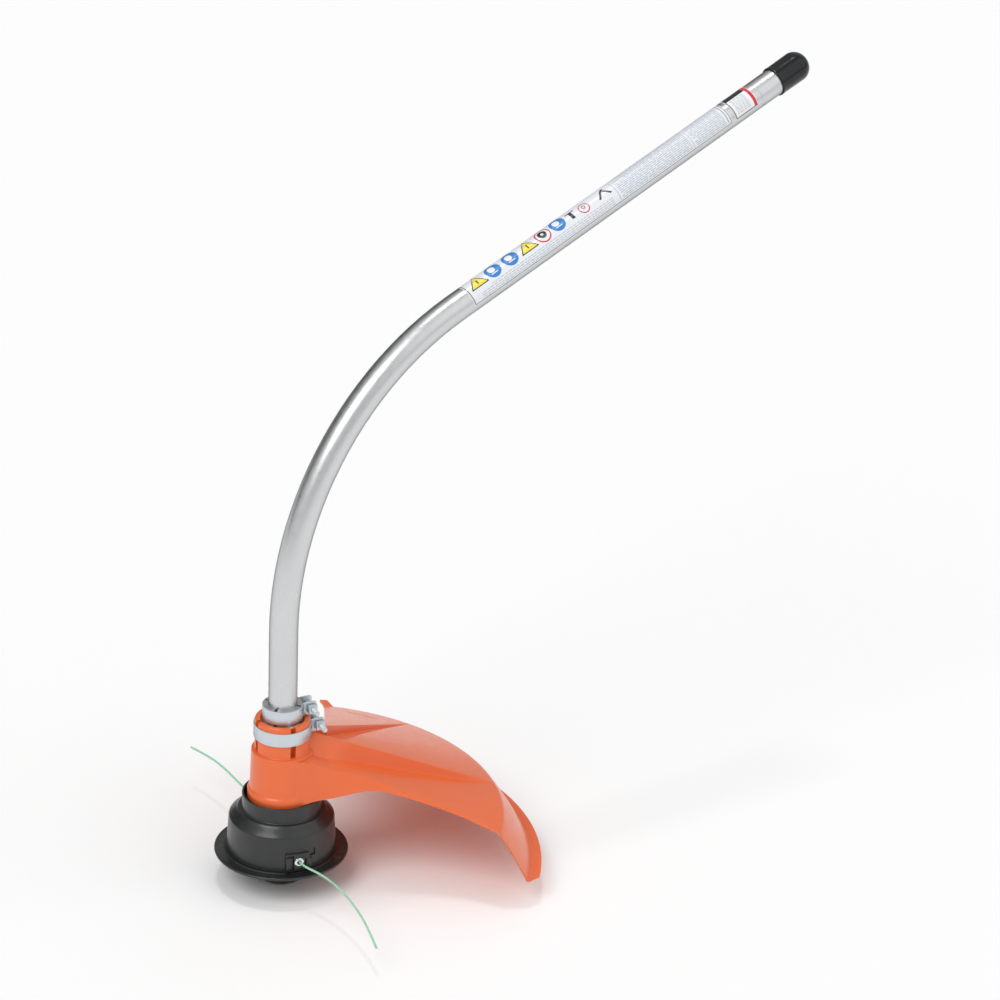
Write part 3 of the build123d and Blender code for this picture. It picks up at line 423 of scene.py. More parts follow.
def add_line(end):
    """One free end of the cutting line, from its eyelet to its cut end."""
    route = LINE_ROUTES[end]
    curve = bpy.data.curves.new("cutting_line_" + end, "CURVE")
    curve.dimensions = "3D"
    curve.resolution_u = 24
    curve.bevel_depth = LINE_RADIUS
    curve.bevel_resolution = 6
    curve.use_fill_caps = True
    spline = curve.splines.new("NURBS")
    spline.points.add(len(route) - 1)
    for point, place in zip(spline.points, route):
        point.co = (*place, 1.0)
    spline.order_u = 3
    spline.use_endpoint_u = True
    piece = link("cutting_line_" + end, curve, LINE)
    settle(piece, "head", "line_green", "line_tip_" + end)


for end in LINE_ROUTES:
    add_line(end)


# ---- guard

RIM_R = 197 * MM
RIM_TOP = 69.5 * MM
FOOT_R = 224 * MM
FOOT_TOP = 24.6 * MM
LIP_R = 233 * MM
NEAR_RIM = -49.5
RIDGE = -22.5
TIP = 17.2
FAR_RIM = 42.5
GUARD_WALL = 2.8 * MM
PAD_SLOPE = 0.42
CHANNEL_SLOPE = 0.347
CHANNEL_INNER = Vector((56 * MM, 12.5 * MM))
RIDGE_FORK = polar(56 * MM, RIDGE).xy
CHANNEL_TIP = polar(RIM_R, TIP).xy
FAR_CORNER = polar(RIM_R, FAR_RIM).xy
COLLAR_R = 24.5 * MM
COLLAR_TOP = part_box("guard")[1].z
COLLAR_BORE_R = 18.2 * MM
BELL_R = 27.4 * MM
BELL_FOOT = 82.5 * MM
COLLAR_FOOT = 129.5 * MM
CLAMP_AZIMUTH = -13.0
SPLIT_WIDTH = 5.0 * MM
SPLIT_DEPTH = 29.8 * MM
GROOVE_R = 169 * MM
GROOVE_WIDTH = 2 * MM
GROOVE_DEPTH = 1.8 * MM
GROOVE_AZIMUTHS = range(23, 34)
BLADE_AZIMUTH = 34.0
TAB_THICKNESS = 2.4 * MM
SKIRT_PARTS = 14
SKIRT_START = 1.3 * MM
SKIRT_BULGE = 1.3 * MM
# the way in through the skirt's wall
SKIRT_INWARD, SKIRT_DOWN = 0.857, 0.515
NEAR_WALL_COLUMNS = 9
FAR_WALL_COLUMNS = 6

# radii in millimetres at which the fan has a cross-section
FAN_RADII = [23.5, 25.5, 27.5, 29.5, 32, 35, 38.5, 42, 46, 50, 53, 55, 56.2, 58, 60.5, 64, 68, 72, 77, 82,
             88, 94, 100, 106, 112, 119, 126, 134, 142, 150, 158, 166, 174, 181, 187, 191.5, 194.5, 196]

# plan of the near edge, and heights over radius of what meets there, in millimetres
NEAR_EDGE = [(-10, -24.0), (-1, -28.6), (12, -33.0), (26, -38.8), (40, -46.5), (56, -59), (74, -76.3),
             (93, -95.2), (111, -116)]
ARCH = [(26, 84), (31, 84.5), (36, 87.6), (46, 88.6), (58, 90.6), (75, 94.3), (90, 94.6), (105, 91.8),
        (132, 84.6), (160, 76.8), (180, 71.8), (190, 69.9), (197, 68.9)]
SHELF = [(26, 127.5), (31, 125), (45, 115.6), (57, 112.2), (75, 107.4), (92, 101.6), (108, 95.4),
         (132, 87.4), (160, 79.0), (197, 69.4)]
PANEL = [(23, 128), (34, 121.5), (45, 117), (60, 111.5), (75, 106.3), (90, 101.2), (105, 96.2),
         (132, 88.0), (160, 79.2), (197, 69.5)]
# how far the foot of the wall under the ridge stands off the ridge
WALL_STAND_OFF = [(23, 13), (45, 11), (56, 7), (66, 4), (80, 3.2), (120, 3.0), (160, 2.2), (197, 1.0)]


def over(points, radius):
    """Value in metres over a radius in metres, from a list in millimetres."""
    return smooth(points, radius / MM) * MM


def pad_height(radius):
    """Height of the raised pads, one shallow cone."""
    return RIM_TOP + PAD_SLOPE * (RIM_R - radius)


def channel_height(radius):
    """Height of the sunken channel between the pads."""
    return RIM_TOP + CHANNEL_SLOPE * (RIM_R - radius)


def crossing(start, end, radius):
    """Azimuth at which the plan line from start to end crosses a radius."""
    along = end - start
    a, b, c = along.dot(along), 2 * start.dot(along), start.dot(start) - radius**2
    t = (-b + math.sqrt(max(0.0, b * b - 4 * a * c))) / (2 * a)
    return azimuth_of(start + along * min(1.0, max(0.0, t)))


def near_azimuth(radius):
    """Azimuth of the guard's near edge at a radius."""
    points = [(Vector(p).length, azimuth_of(p)) for p in NEAR_EDGE] + [(RIM_R / MM, NEAR_RIM)]
    return smooth(points, radius / MM)


def far_azimuth(radius):
    """Azimuth of the guard's far edge at a radius."""
    if radius >= CHANNEL_INNER.length:
        return crossing(CHANNEL_INNER, FAR_CORNER, radius)
    inner = [(23, 84), (27.7, 77), (33.2, 44), (45, 24), (57.4, azimuth_of(CHANNEL_INNER))]
    return smooth(inner, radius / MM)


def fan_corners(radius):
    """Corners of the fan's cross-section at a radius, from the near edge to the far edge.

    Each is an azimuth, a height, a rounding, and how many parts the stretch after it has.
    """
    def side(distance):
        return math.degrees(distance / radius)

    pad, floor = pad_height(radius), channel_height(radius)
    near, far = near_azimuth(radius), far_azimuth(radius)
    inner = RIDGE if radius < RIDGE_FORK.length else crossing(RIDGE_FORK, CHANNEL_TIP, radius)
    inner = max(inner, RIDGE + side(1.6 * MM))
    outer = crossing(CHANNEL_INNER, CHANNEL_TIP, radius)
    if radius < CHANNEL_INNER.length:
        outer = far - side(2.6 * MM)
    middle = (inner + outer) / 2
    inner, outer = min(inner, middle - side(0.9 * MM)), max(outer, middle + side(0.9 * MM))
    drop = pad - floor
    arch, shelf = over(ARCH, radius), over(SHELF, radius)
    lean = side(0.15 * (shelf - arch) + 0.3 * MM)
    edge = 0.35 * MM
    # a low bead stiffens the near edge, out to the rim
    bead = 0.55 * MM * min(1.0, max(0.0, (RIM_R - radius) / (30 * MM)))
    return [
        (near - lean, arch, 0.0, 4),
        (near, shelf + bead, 0.7 * MM, 1),
        (near + side(1.5 * MM), shelf + bead, 0.5 * MM, 1),
        (near + side(2.1 * MM), shelf, 0.4 * MM, 10),
        (RIDGE - side(over(WALL_STAND_OFF, radius)), over(PANEL, radius), 0.6 * MM, 3),
        (RIDGE, pad, edge, 12),
        (inner, pad, edge, 2),
        (inner + side(0.25 * drop + 0.1 * MM), floor, 0.5 * MM, 8),
        (outer - side(0.2 * drop + 0.5 * MM), floor, 0.5 * MM, 2),
        (outer - side(0.4 * MM), pad, edge, 10),
        (far, pad, edge, 2),
        (far + side(0.3 * MM), pad - 0.6 * (drop + 5 * MM), 0.0, 0),
    ]


def fan_row(radius):
    """Points of one cross-section of the fan as (distance round, height), with rounded corners."""
    corners = fan_corners(radius)
    flat = [Vector((math.radians(c[0]) * radius, c[1])) for c in corners]
    curves = []
    for i, (here, corner) in enumerate(zip(flat, corners)):
        if corner[2]:
            curves.append(rounded(flat[i - 1], here, flat[i + 1], corner[2], 0.45, 4))
        else:
            curves.append([here])
    made = []
    for i, curve in enumerate(curves[:-1]):
        parts = corners[i][3]
        made += curve
        made += [curve[-1].lerp(curves[i + 1][0], part / parts) for part in range(1, parts)]
    return made + curves[-1]


def fan_underside(row, arch):
    """Underside of a cross-section: a wall's thickness in from its ends, and below it between them."""
    samples = []
    for here, there in zip(row, row[1:]):
        parts = max(1, int((there - here).length / (0.5 * MM)))
        samples += [here.lerp(there, part / parts) for part in range(parts)]
    made = []
    for i, point in enumerate(row):
        if i < NEAR_WALL_COLUMNS:
            part = i / (NEAR_WALL_COLUMNS - 1)
            made.append(Vector((point.x + GUARD_WALL, max(arch, point.y - GUARD_WALL * part))))
        elif i >= len(row) - FAR_WALL_COLUMNS:
            drop = GUARD_WALL * (len(row) - 1 - i) / (FAR_WALL_COLUMNS - 1)
            made.append(Vector((point.x - GUARD_WALL, point.y - drop)))
        else:
            near = [s for s in samples if abs(s.x - point.x) < GUARD_WALL]
            depths = [s.y - math.sqrt(GUARD_WALL**2 - (s.x - point.x) ** 2) for s in near]
            made.append(Vector((point.x, min(depths + [point.y - GUARD_WALL]))))
    for i in range(1, len(made)):
        made[i].x = max(made[i].x, made[i - 1].x + 0.02 * MM)
    return made


def skirt_rows():
    """Radius, height and late start of each row from the rim down to the lip, above and below."""
    slope = (FOOT_R - RIM_R) / (RIM_TOP - FOOT_TOP)
    rows = [(RIM_R + 0.1 * MM, RIM_TOP - 0.35 * MM, 0.0), (RIM_R + 0.9 * MM, RIM_TOP - SKIRT_START, 0.0)]
    for part in range(1, SKIRT_PARTS + 1):
        drop = SKIRT_START + (RIM_TOP - FOOT_TOP - SKIRT_START) * part / SKIRT_PARTS
        bulge = SKIRT_BULGE * math.sin(math.pi * part / SKIRT_PARTS)
        rows.append((RIM_R + slope * drop + bulge, RIM_TOP - drop, 0.0))
    inward, down = SKIRT_INWARD * GUARD_WALL, SKIRT_DOWN * GUARD_WALL
    below = [(radius - inward, height - down, late) for radius, height, late in rows]
    lip = [(FOOT_R + 0.9 * MM, FOOT_TOP - 0.6 * MM, 0.4), (FOOT_R + 2.5 * MM, FOOT_TOP - 0.5 * MM, 0.9),
           (LIP_R - 4.0 * MM, FOOT_TOP - 0.2 * MM, 1.6), (LIP_R - 0.5 * MM, FOOT_TOP - 0.1 * MM, 2.6)]
    below += [(radius, height - (2.4 - 0.15 * i) * MM, late) for i, (radius, height, late) in enumerate(lip)]
    return rows + lip, below


def skirt_row(azimuths, radius, height, late):
    """One row of the skirt, whose near end starts a little late."""
    squeeze = (FAR_RIM - NEAR_RIM - late) / (FAR_RIM - NEAR_RIM)
    return [polar(radius, FAR_RIM - (FAR_RIM - azimuth) * squeeze, height) for azimuth in azimuths]


def fan_rows():
    """Rows of the top surface and of the underside, from inside the collar to the lip's edge."""
    top, below = [], []
    for size in FAN_RADII:
        radius = size * MM
        row = fan_row(radius)
        under = fan_underside(row, over(ARCH, radius))
        turn_in = min(1.0, max(0.0, (size - 185) / 13))
        under_r = radius - SKIRT_INWARD * GUARD_WALL * turn_in
        rise = (1 - SKIRT_DOWN) * GUARD_WALL * turn_in
        top.append([polar(radius, math.degrees(p.x / radius), p.y) for p in row])
        below.append([polar(under_r, math.degrees(p.x / radius), p.y + rise) for p in under])
    last = fan_row(RIM_R)
    azimuths = [math.degrees(p.x / RIM_R) for p in last]
    under_azimuths = [math.degrees(p.x / RIM_R) for p in fan_underside(last, over(ARCH, RIM_R))]
    for above_row, below_row in zip(*skirt_rows()):
        top.append(skirt_row(azimuths, *above_row))
        below.append(skirt_row(under_azimuths, *below_row))
    return top, below


def fan_solid():
    """Fan, skirt and lip as one closed shape with rounded edges."""
    top, below = fan_rows()
    ends = []
    for column in (0, -1):
        ends.append([])
        for above, under in zip(top, below):
            out = above[column] - above[3 if column == 0 else -4]
            out = out.normalized() if out.length > 1e-7 else Vector((0, 0, 0))
            ends[-1].append((above[column] + under[column]) / 2 + out * 0.5 * MM)
    loops = []
    for i, (above, under) in enumerate(zip(top, below)):
        loops.append([ends[0][i]] + list(above) + [ends[1][i]] + list(reversed(under)))
    shape = bmesh.new()
    verts = grid(shape, loops, closed=True)
    count = len(top[0])
    for loop in (verts[0], verts[-1]):
        for i in range(count):
            before, after = loop[1 + i], loop[2 * count + 1 - i]
            if i == 0:
                shape.faces.new((loop[0], before, after))
            if i < count - 1:
                shape.faces.new((before, loop[2 + i], loop[2 * count - i], after))
            else:
                shape.faces.new((before, loop[count + 1], after))
    return shape


def blade_pad():
    """Pad inside the skirt that the line cutter is screwed to."""
    shape = bmesh.new()
    rows = []
    for side in (-12 * MM, 12 * MM):
        rows.append([
            Vector((radius * MM, side, height * MM))
            for radius, height in ((200, 30), (217.5, 30), (204.5, 56), (200, 56))
        ])
    sweep(shape, rows)
    move(shape, Matrix.Rotation(math.radians(BLADE_AZIMUTH), 4, "Z"))
    return shape


def corner_tab():
    """Flat tab that runs out from the rim at its far corner."""
    shape = bmesh.new()
    # radius in millimetres and azimuth
    plan = ((194.5, 40.4), (197.5, 40.1), (208.5, 42.4), (208.0, 44.3), (196.6, 42.4), (194.5, 42.3))
    rows = [
        [polar(radius * MM, azimuth, height) for radius, azimuth in plan]
        for height in (RIM_TOP - 0.2 * MM - TAB_THICKNESS, RIM_TOP - 0.2 * MM)
    ]
    sweep(shape, rows)
    return shape


def pad_groove():
    """Cutter for the shallow groove on the far pad."""
    shape = bmesh.new()
    inner, outer = GROOVE_R - GROOVE_WIDTH / 2, GROOVE_R + GROOVE_WIDTH / 2
    foot = pad_height(GROOVE_R) - GROOVE_DEPTH
    top = foot + 20 * MM
    rows = []
    for azimuth in GROOVE_AZIMUTHS:
        corners = ((inner, foot), (outer, foot), (outer, top), (inner, top))
        rows.append([polar(radius, azimuth, height) for radius, height in corners])
    sweep(shape, rows)
    return shape


def collar_and_bell():
    """Collar that the large clamp grips, and the bell under it."""
    bell = bmesh.new()
    turn_profile(bell, outline([
        (COLLAR_BORE_R, COLLAR_FOOT - 6 * MM),
        (BELL_R - GUARD_WALL, COLLAR_FOOT - 10 * MM, 2 * MM),
        (BELL_R - 1.8 * MM, BELL_FOOT + 12 * MM, 2 * MM),
        (BELL_R + 0.6 * MM, BELL_FOOT + 9 * MM),
        (BELL_R + 0.6 * MM, BELL_FOOT, 0.6 * MM),
        (BELL_R + 3.4 * MM, BELL_FOOT, 1.2 * MM),
        (BELL_R + 3.2 * MM, BELL_FOOT + 8.6 * MM, 1.4 * MM),
        (BELL_R + 1.2 * MM, BELL_FOOT + 10.5 * MM, 2.0 * MM),
        (BELL_R, COLLAR_FOOT, 1.0 * MM),
        (COLLAR_R, COLLAR_FOOT + 0.4 * MM, 1.2 * MM),
        (COLLAR_R, COLLAR_TOP, 2.4 * MM),
        (COLLAR_BORE_R + 1.6 * MM, COLLAR_TOP, 1.6 * MM),
        (COLLAR_BORE_R, COLLAR_TOP - 3.5 * MM, 1.0 * MM),
    ]), 160)
    return bell


def add_guard():
    """Guard: fan with its skirt, joined to a split collar and a bell."""
    guard = from_bmesh("deflector_guard", fan_solid(), ORANGE)
    cut(guard, [collar_and_bell(), blade_pad(), corner_tab()], "UNION")
    cutters = []
    for quarter in range(4):
        middle = COLLAR_TOP - SPLIT_DEPTH / 2 + 0.1 * MM
        place = facing(CLAMP_AZIMUTH + 90 * quarter, COLLAR_R - 1.5 * MM, middle)
        cutters.append(placed(block, place, 9 * MM, SPLIT_WIDTH, SPLIT_DEPTH))
    cutters.append(pad_groove())
    cut(guard, cutters)
    smooth_faces(guard.data, 36.0)
    settle(guard, "boom", "guard_orange", "guard")


add_guard()


# ---- line head

HEAD_FOOT_R = 49.0 * MM
SHOULDER_R = 46.8 * MM
SHOULDER = 64.5 * MM
RING_R = 35.2 * MM
RING_INNER_R = 32.6 * MM
RING_FOOT = 70.8 * MM
HEAD_TOP = 86.0 * MM
TROUGH = 73.0 * MM
FLANGE_R = 59.8 * MM
FLANGE_FOOT = 28.0 * MM
FLANGE_TOP = 30.0 * MM
EYELET_AZIMUTHS = (-108.0, 72.0)
EYELET_HEIGHT = 41.0 * MM
EYELET_FACE_R = 51.0 * MM
LATCH_OFFSET = 15.5
LATCH_HEIGHT = 46.75 * MM
TONGUE_WIDTH = 7.2 * MM
BOSS_WIDTH = 24.0 * MM
BOSS_HEIGHT = 16.0 * MM


def eyelet_boss(azimuth):
    """Block that an eyelet sits in; the groove down its left side is cut with the housing's holes."""
    made = placed(block, facing(azimuth, EYELET_FACE_R - 2.5 * MM, EYELET_HEIGHT - 0.5 * MM),
                  5 * MM, BOSS_WIDTH, BOSS_HEIGHT + 1 * MM)
    ease(made, 1.1 * MM, 3)
    return made


def add_head_housing():
    """Upper half of the head: shouldered drum with a raised ring, two bosses and two windows."""
    housing = lathe("head_shell", [
        (HEAD_FOOT_R - 2.5 * MM, FLANGE_TOP),
        (HEAD_FOOT_R, FLANGE_TOP),
        (HEAD_FOOT_R - 0.2 * MM, FLANGE_TOP + 4 * MM, 2 * MM),
        (SHOULDER_R + 0.1 * MM, SHOULDER - 1.2 * MM, 1.2 * MM),
        (SHOULDER_R - 2.4 * MM, SHOULDER + 1.2 * MM, 1.6 * MM),
        (RING_R + 4.5 * MM, RING_FOOT - 1.2 * MM, 1.0 * MM),
        (RING_R + 3.4 * MM, RING_FOOT + 0.2 * MM, 0.6 * MM),
        (RING_R + 0.1 * MM, RING_FOOT + 0.4 * MM, 1.2 * MM),
        (RING_R, HEAD_TOP - 0.2 * MM, 0.8 * MM),
        (RING_INNER_R + 1.0 * MM, HEAD_TOP, 0.8 * MM),
        (RING_INNER_R + 0.4 * MM, TROUGH, 1.6 * MM),
        (12 * MM, TROUGH, 1 * MM),
        (12 * MM, HEAD_TOP, 0.4 * MM),
        (7.5 * MM, HEAD_TOP),
        (7.5 * MM, 62 * MM),
        (9.3 * MM, 62 * MM),
        (9.3 * MM, 70.4 * MM),
        (RING_INNER_R, 70.4 * MM, 1 * MM),
        (SHOULDER_R - 2.5 * MM, SHOULDER - 2.1 * MM, 2 * MM),
    ], BLACK)
    cut(housing, [eyelet_boss(azimuth) for azimuth in EYELET_AZIMUTHS], "UNION")
    holes = []
    for azimuth in EYELET_AZIMUTHS:
        for side, width, middle in ((-5.6, 1.9, -1.5), (6.2, 1.2, -5.5)):
            place = facing(azimuth, EYELET_FACE_R, EYELET_HEIGHT + middle * MM, side * MM)
            holes.append(placed(block, place, 5.6 * MM, width * MM, 17 * MM))
        # the left post is lower than the block round the eyelet
        place = facing(azimuth, EYELET_FACE_R, EYELET_HEIGHT + 7.6 * MM, -9.3 * MM)
        holes.append(placed(block, place, 3.4 * MM, 6 * MM, 5 * MM))
        holes.append(placed(block, facing(azimuth + LATCH_OFFSET, HEAD_FOOT_R - 1 * MM, LATCH_HEIGHT),
                            11 * MM, 8 * MM, 6.5 * MM))
        holes.append(placed(rod, facing(azimuth, EYELET_FACE_R - 12 * MM, EYELET_HEIGHT)
                            @ Matrix.Rotation(math.pi / 2, 4, "Y"), 2.7 * MM, 14 * MM))
    cut(housing, holes)
    soften(housing, 0.35 * MM)
    settle(housing, "head", "head_black", "head_housing")


def add_head_cap():
    """Lower half of the head: wide flange with short ribs, and tongues in the windows."""
    cap = lathe("head_flange", [
        (26.6 * MM, FLANGE_FOOT, 0.4 * MM),
        (FLANGE_R - 0.4 * MM, FLANGE_FOOT, 0.5 * MM),
        (FLANGE_R, FLANGE_TOP - 0.8 * MM, 0.5 * MM),
        (FLANGE_R - 0.7 * MM, FLANGE_TOP + 0.35 * MM, 0.4 * MM),
        (FLANGE_R - 1.8 * MM, FLANGE_TOP + 0.3 * MM, 0.5 * MM),
        (FLANGE_R - 2.4 * MM, FLANGE_TOP - 0.25 * MM, 0.4 * MM),
        (50.4 * MM, FLANGE_TOP - 0.2 * MM, 0.6 * MM),
        (49.6 * MM, FLANGE_TOP + 0.5 * MM, 0.5 * MM),
        (46.4 * MM, FLANGE_TOP + 0.5 * MM),
        (45.3 * MM, FLANGE_TOP + 6.5 * MM, 0.3 * MM),
        (43.7 * MM, FLANGE_TOP + 6.5 * MM, 0.3 * MM),
        (43.7 * MM, FLANGE_TOP, 1 * MM),
        (26.6 * MM, FLANGE_TOP, 0.4 * MM),
    ], BLACK)
    extra = []
    for azimuth in EYELET_AZIMUTHS:
        extra.append(placed(block, facing(azimuth + LATCH_OFFSET, 44.2 * MM, 42.3 * MM),
                            0.9 * MM, TONGUE_WIDTH, 14.6 * MM))
        extra.append(placed(block, facing(azimuth + LATCH_OFFSET, 45.2 * MM, LATCH_HEIGHT),
                            3.0 * MM, TONGUE_WIDTH, 5.7 * MM))
    for step in range(36):
        if step % 9 < 6:
            extra.append(placed(block, facing(10 * step + 3, 54 * MM, FLANGE_TOP - 0.4 * MM),
                                7.2 * MM, 0.9 * MM, 1.0 * MM))
    cut(cap, [joined(extra)], "UNION")
    settle(cap, "head", "head_black", "head_cap")


def joined(shapes):
    """One bmesh out of several."""
    mesh = bpy.data.meshes.new("joined")
    made = bmesh.new()
    for shape in shapes:
        shape.to_mesh(mesh)
        shape.free()
        made.from_mesh(mesh)
    bpy.data.meshes.remove(mesh)
    return made


def add_eyelets():
    """Polished eyelets with rolled flanges."""
    both = []
    for azimuth in EYELET_AZIMUTHS:
        one = bmesh.new()
        turn_profile(one, outline([
            (1.6 * MM, -6.5 * MM),
            (2.7 * MM, -6.5 * MM),
            (2.7 * MM, 0.0),
            (4.2 * MM, 0.0, 0.3 * MM),
            (4.3 * MM, 0.5 * MM, 0.5 * MM),
            (2.9 * MM, 1.2 * MM, 0.9 * MM),
            (1.6 * MM, 0.6 * MM, 0.7 * MM),
        ]), 48)
        turn = facing(azimuth, EYELET_FACE_R, EYELET_HEIGHT) @ Matrix.Rotation(math.pi / 2, 4, "Y")
        move(one, turn)
        both.append(one)
    settle(from_bmesh("eyelet_pair", joined(both), EYELET), "head", "eyelet_steel", "line_eyelets")


SPRING_R = 11.0 * MM
SPRING_WIRE_R = 0.8 * MM
SPRING_TURNS = 6
SPRING_STEPS = 40
SPRING_SIDES = 12


def add_bump_spring():
    """Coil spring wound to fill the bump spring's CAD box."""
    low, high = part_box("bump_spring")
    foot, top = low.z + SPRING_WIRE_R, high.z - SPRING_WIRE_R
    count = SPRING_TURNS * SPRING_STEPS
    shape = bmesh.new()
    rows = []
    for step in range(count + 1):
        turn = 360 * step / SPRING_STEPS
        height = foot + (top - foot) * step / count
        rows.append([
            polar(SPRING_R + SPRING_WIRE_R * math.cos(side), turn, height + SPRING_WIRE_R * math.sin(side))
            for side in (2 * math.pi * part / SPRING_SIDES for part in range(SPRING_SIDES))
        ])
    sweep(shape, rows)
    spring = from_bmesh("coil_spring", shape, ZINC)
    settle(spring, "head", "zinc_steel", "bump_spring")
    height = high.z - low.z
    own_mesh(spring)


add_head_housing()
add_head_cap()
add_eyelets()
add_bump_spring()


# ---- clamps

NECK_R = 16.9 * MM
BAND_HEIGHT = 12.5 * MM
BAND_THICKNESS = 1.1 * MM
EAR_REACH = 12.8 * MM
EAR_SIDE = 5.5 * MM
EAR_ROUNDING = 2.4 * MM
SCREW_INSET = 4.8 * MM
SCREW_R = 2.5 * MM
SCREW_SEAT = 6.5 * MM
SCREW_END = 9 * MM
THREAD_PITCH = 0.8 * MM
THREAD_DEPTH = 0.42 * MM
HEX_R = 4.6 * MM
HEX_HEIGHT = 3.4 * MM
NUT_SIZE = 8 * MM
NUT_HEIGHT = 4 * MM
CLAMPS = {"small_clamp": (NECK_R, 160.3 * MM), "large_clamp": (COLLAR_R, 142.7 * MM)}


def screw_matrix(inner_r, foot, start, tilt=-90):
    """Matrix whose Z runs along a clamp's screw, from a start off the screw's middle."""
    place = facing(CLAMP_AZIMUTH, inner_r + EAR_REACH - SCREW_INSET, foot + BAND_HEIGHT / 2, start)
    return place @ Matrix.Rotation(math.radians(tilt), 4, "X")


def band_path(inner_r):
    """Centre line of a band from the end of one ear to the other's: plan point and corner inset."""
    middle = inner_r + BAND_THICKNESS / 2
    bend = 2.2 * MM
    inside = EAR_SIDE + bend
    start = math.asin(inside / (middle + bend))
    out = (middle + bend) * math.cos(start)
    ear = []
    for part in range(6):
        turn = math.pi / 2 * part / 5
        from_end = EAR_ROUNDING * (1 - math.cos(turn))
        ear.append((Vector((inner_r + EAR_REACH - from_end, EAR_SIDE)), EAR_ROUNDING * (1 - math.sin(turn))))
    for part in range(7):
        turn = -math.pi / 2 - (math.pi / 2 - start) * part / 6
        ear.append((Vector((out + bend * math.cos(turn), inside + bend * math.sin(turn))), 0.0))
    around = []
    for part in range(1, 60):
        turn = start + (2 * math.pi - 2 * start) * part / 60
        around.append((Vector((middle * math.cos(turn), middle * math.sin(turn))), 0.0))
    return ear + around + [(Vector((point.x, -point.y)), inset) for point, inset in reversed(ear)]


def add_band(name, inner_r, foot):
    """Sheet-metal band with rounded edges that bends out into two ears."""
    path = band_path(inner_r)
    shape = bmesh.new()
    rows = []
    for i, (point, inset) in enumerate(path):
        along = (path[min(i + 1, len(path) - 1)][0] - path[max(i - 1, 0)][0]).normalized()
        side = Vector((-along.y, along.x))
        rows.append([
            Vector(((point + side * offset).x, (point + side * offset).y, foot + height))
            for offset, height in (
                (BAND_THICKNESS / 2, inset), (BAND_THICKNESS / 2, BAND_HEIGHT - inset),
                (-BAND_THICKNESS / 2, BAND_HEIGHT - inset), (-BAND_THICKNESS / 2, inset),
            )
        ])
    sweep(shape, rows)
    move(shape, Matrix.Rotation(math.radians(CLAMP_AZIMUTH), 4, "Z"))
    band = from_bmesh(name + "_strap", shape, ZINC)
    hole = placed(rod, screw_matrix(inner_r, foot, -12 * MM), SCREW_R + 0.15 * MM, 24 * MM)
    cut(band, [hole])
    soften(band, 0.3 * MM)
    settle(band, "boom", "zinc_steel", name + "_band")


def add_screw(name, inner_r, foot):
    """Hex-head screw with a thread, its head on the far side."""
    length = 2 * SCREW_SEAT + NUT_HEIGHT + SCREW_END
    profile = [(0.0, -length), (SCREW_R - 0.6 * MM, -length)]
    for step in range(int((length - 4 * MM) / THREAD_PITCH)):
        at = -length + 0.8 * MM + step * THREAD_PITCH
        profile += [(SCREW_R - THREAD_DEPTH, at), (SCREW_R, at + THREAD_PITCH / 2)]
    profile += [(SCREW_R, 0.0), (SCREW_R, 1 * MM), (0.0, 1 * MM)]
    shank = bmesh.new()
    turn_profile(shank, profile, 24)
    head = bmesh.new()
    rod(head, HEX_R, HEX_HEIGHT, 6)
    ease(head, 0.45 * MM)
    both = joined([shank, head])
    move(both, screw_matrix(inner_r, foot, SCREW_SEAT))
    settle(from_bmesh(name + "_bolt", both, ZINC), "boom", "zinc_steel", name + "_screw")


def add_nut(name, inner_r, foot):
    """Square nut on the near side."""
    nut = bmesh.new()
    ring = ((SCREW_R, 0.0), (SCREW_R, NUT_HEIGHT), (NUT_SIZE, NUT_HEIGHT), (NUT_SIZE, 0.0))
    turn_profile(nut, ring, 32)
    piece = from_bmesh(name + "_square", nut, ZINC)
    box = bmesh.new()
    block(box, NUT_SIZE, NUT_SIZE, NUT_HEIGHT)
    ease(box, 0.5 * MM)
    bmesh.ops.translate(box, vec=(0, 0, NUT_HEIGHT / 2), verts=box.verts)
    cut(piece, [box], "INTERSECT")
    piece.data.transform(screw_matrix(inner_r, foot, -SCREW_SEAT, 90))
    smooth_faces(piece.data)
    paint(piece, ZINC)
    settle(piece, "boom", "zinc_steel", name + "_nut")


for clamp, (clamp_r, clamp_foot) in CLAMPS.items():
    add_band(clamp, clamp_r, clamp_foot)
    add_screw(clamp, clamp_r, clamp_foot)
    add_nut(clamp, clamp_r, clamp_foot)


# ---- printed films
# places are millimetres from the tube's upper end, and degrees round the tube

TUBE_R = 12.7 * MM
BEND_START = 242.7 * MM
BEND_RADIUS = 280.6 * MM
BEND_ANGLE = math.radians(68.8)
STRAIGHT = 423.3 * MM
FILM_R = TUBE_R + 0.15 * MM
PRINT_R = FILM_R + 0.03 * MM
PRINT_THICKNESS = 0.05 * MM
INKS = [INK_BLACK, INK_GREY, INK_PALE, INK_YELLOW, INK_BLUE, INK_RED, INK_WHITE]
BLACK_INK, GREY_INK, PALE_INK, YELLOW_INK, BLUE_INK, RED_INK, WHITE_INK = range(7)


def tube_point(from_end, angle, radius):
    """Point round the tube's upper straight; 90 degrees is its upper side."""
    along = Vector((math.sin(BEND_ANGLE), 0, math.cos(BEND_ANGLE)))
    up = Vector((-math.cos(BEND_ANGLE), 0, math.sin(BEND_ANGLE)))
    reach, rise = BEND_RADIUS * (1 - math.cos(BEND_ANGLE)), BEND_RADIUS * math.sin(BEND_ANGLE)
    bend_end = Vector((reach, 0, BEND_START + rise))
    turn = math.radians(angle)
    centre = bend_end + along * (STRAIGHT - from_end * MM)
    return centre + (Vector((0, 1, 0)) * math.cos(turn) + up * math.sin(turn)) * radius


def degrees_round(length):
    """Degrees round the film that a length in millimetres takes."""
    return math.degrees(length * MM / FILM_R)


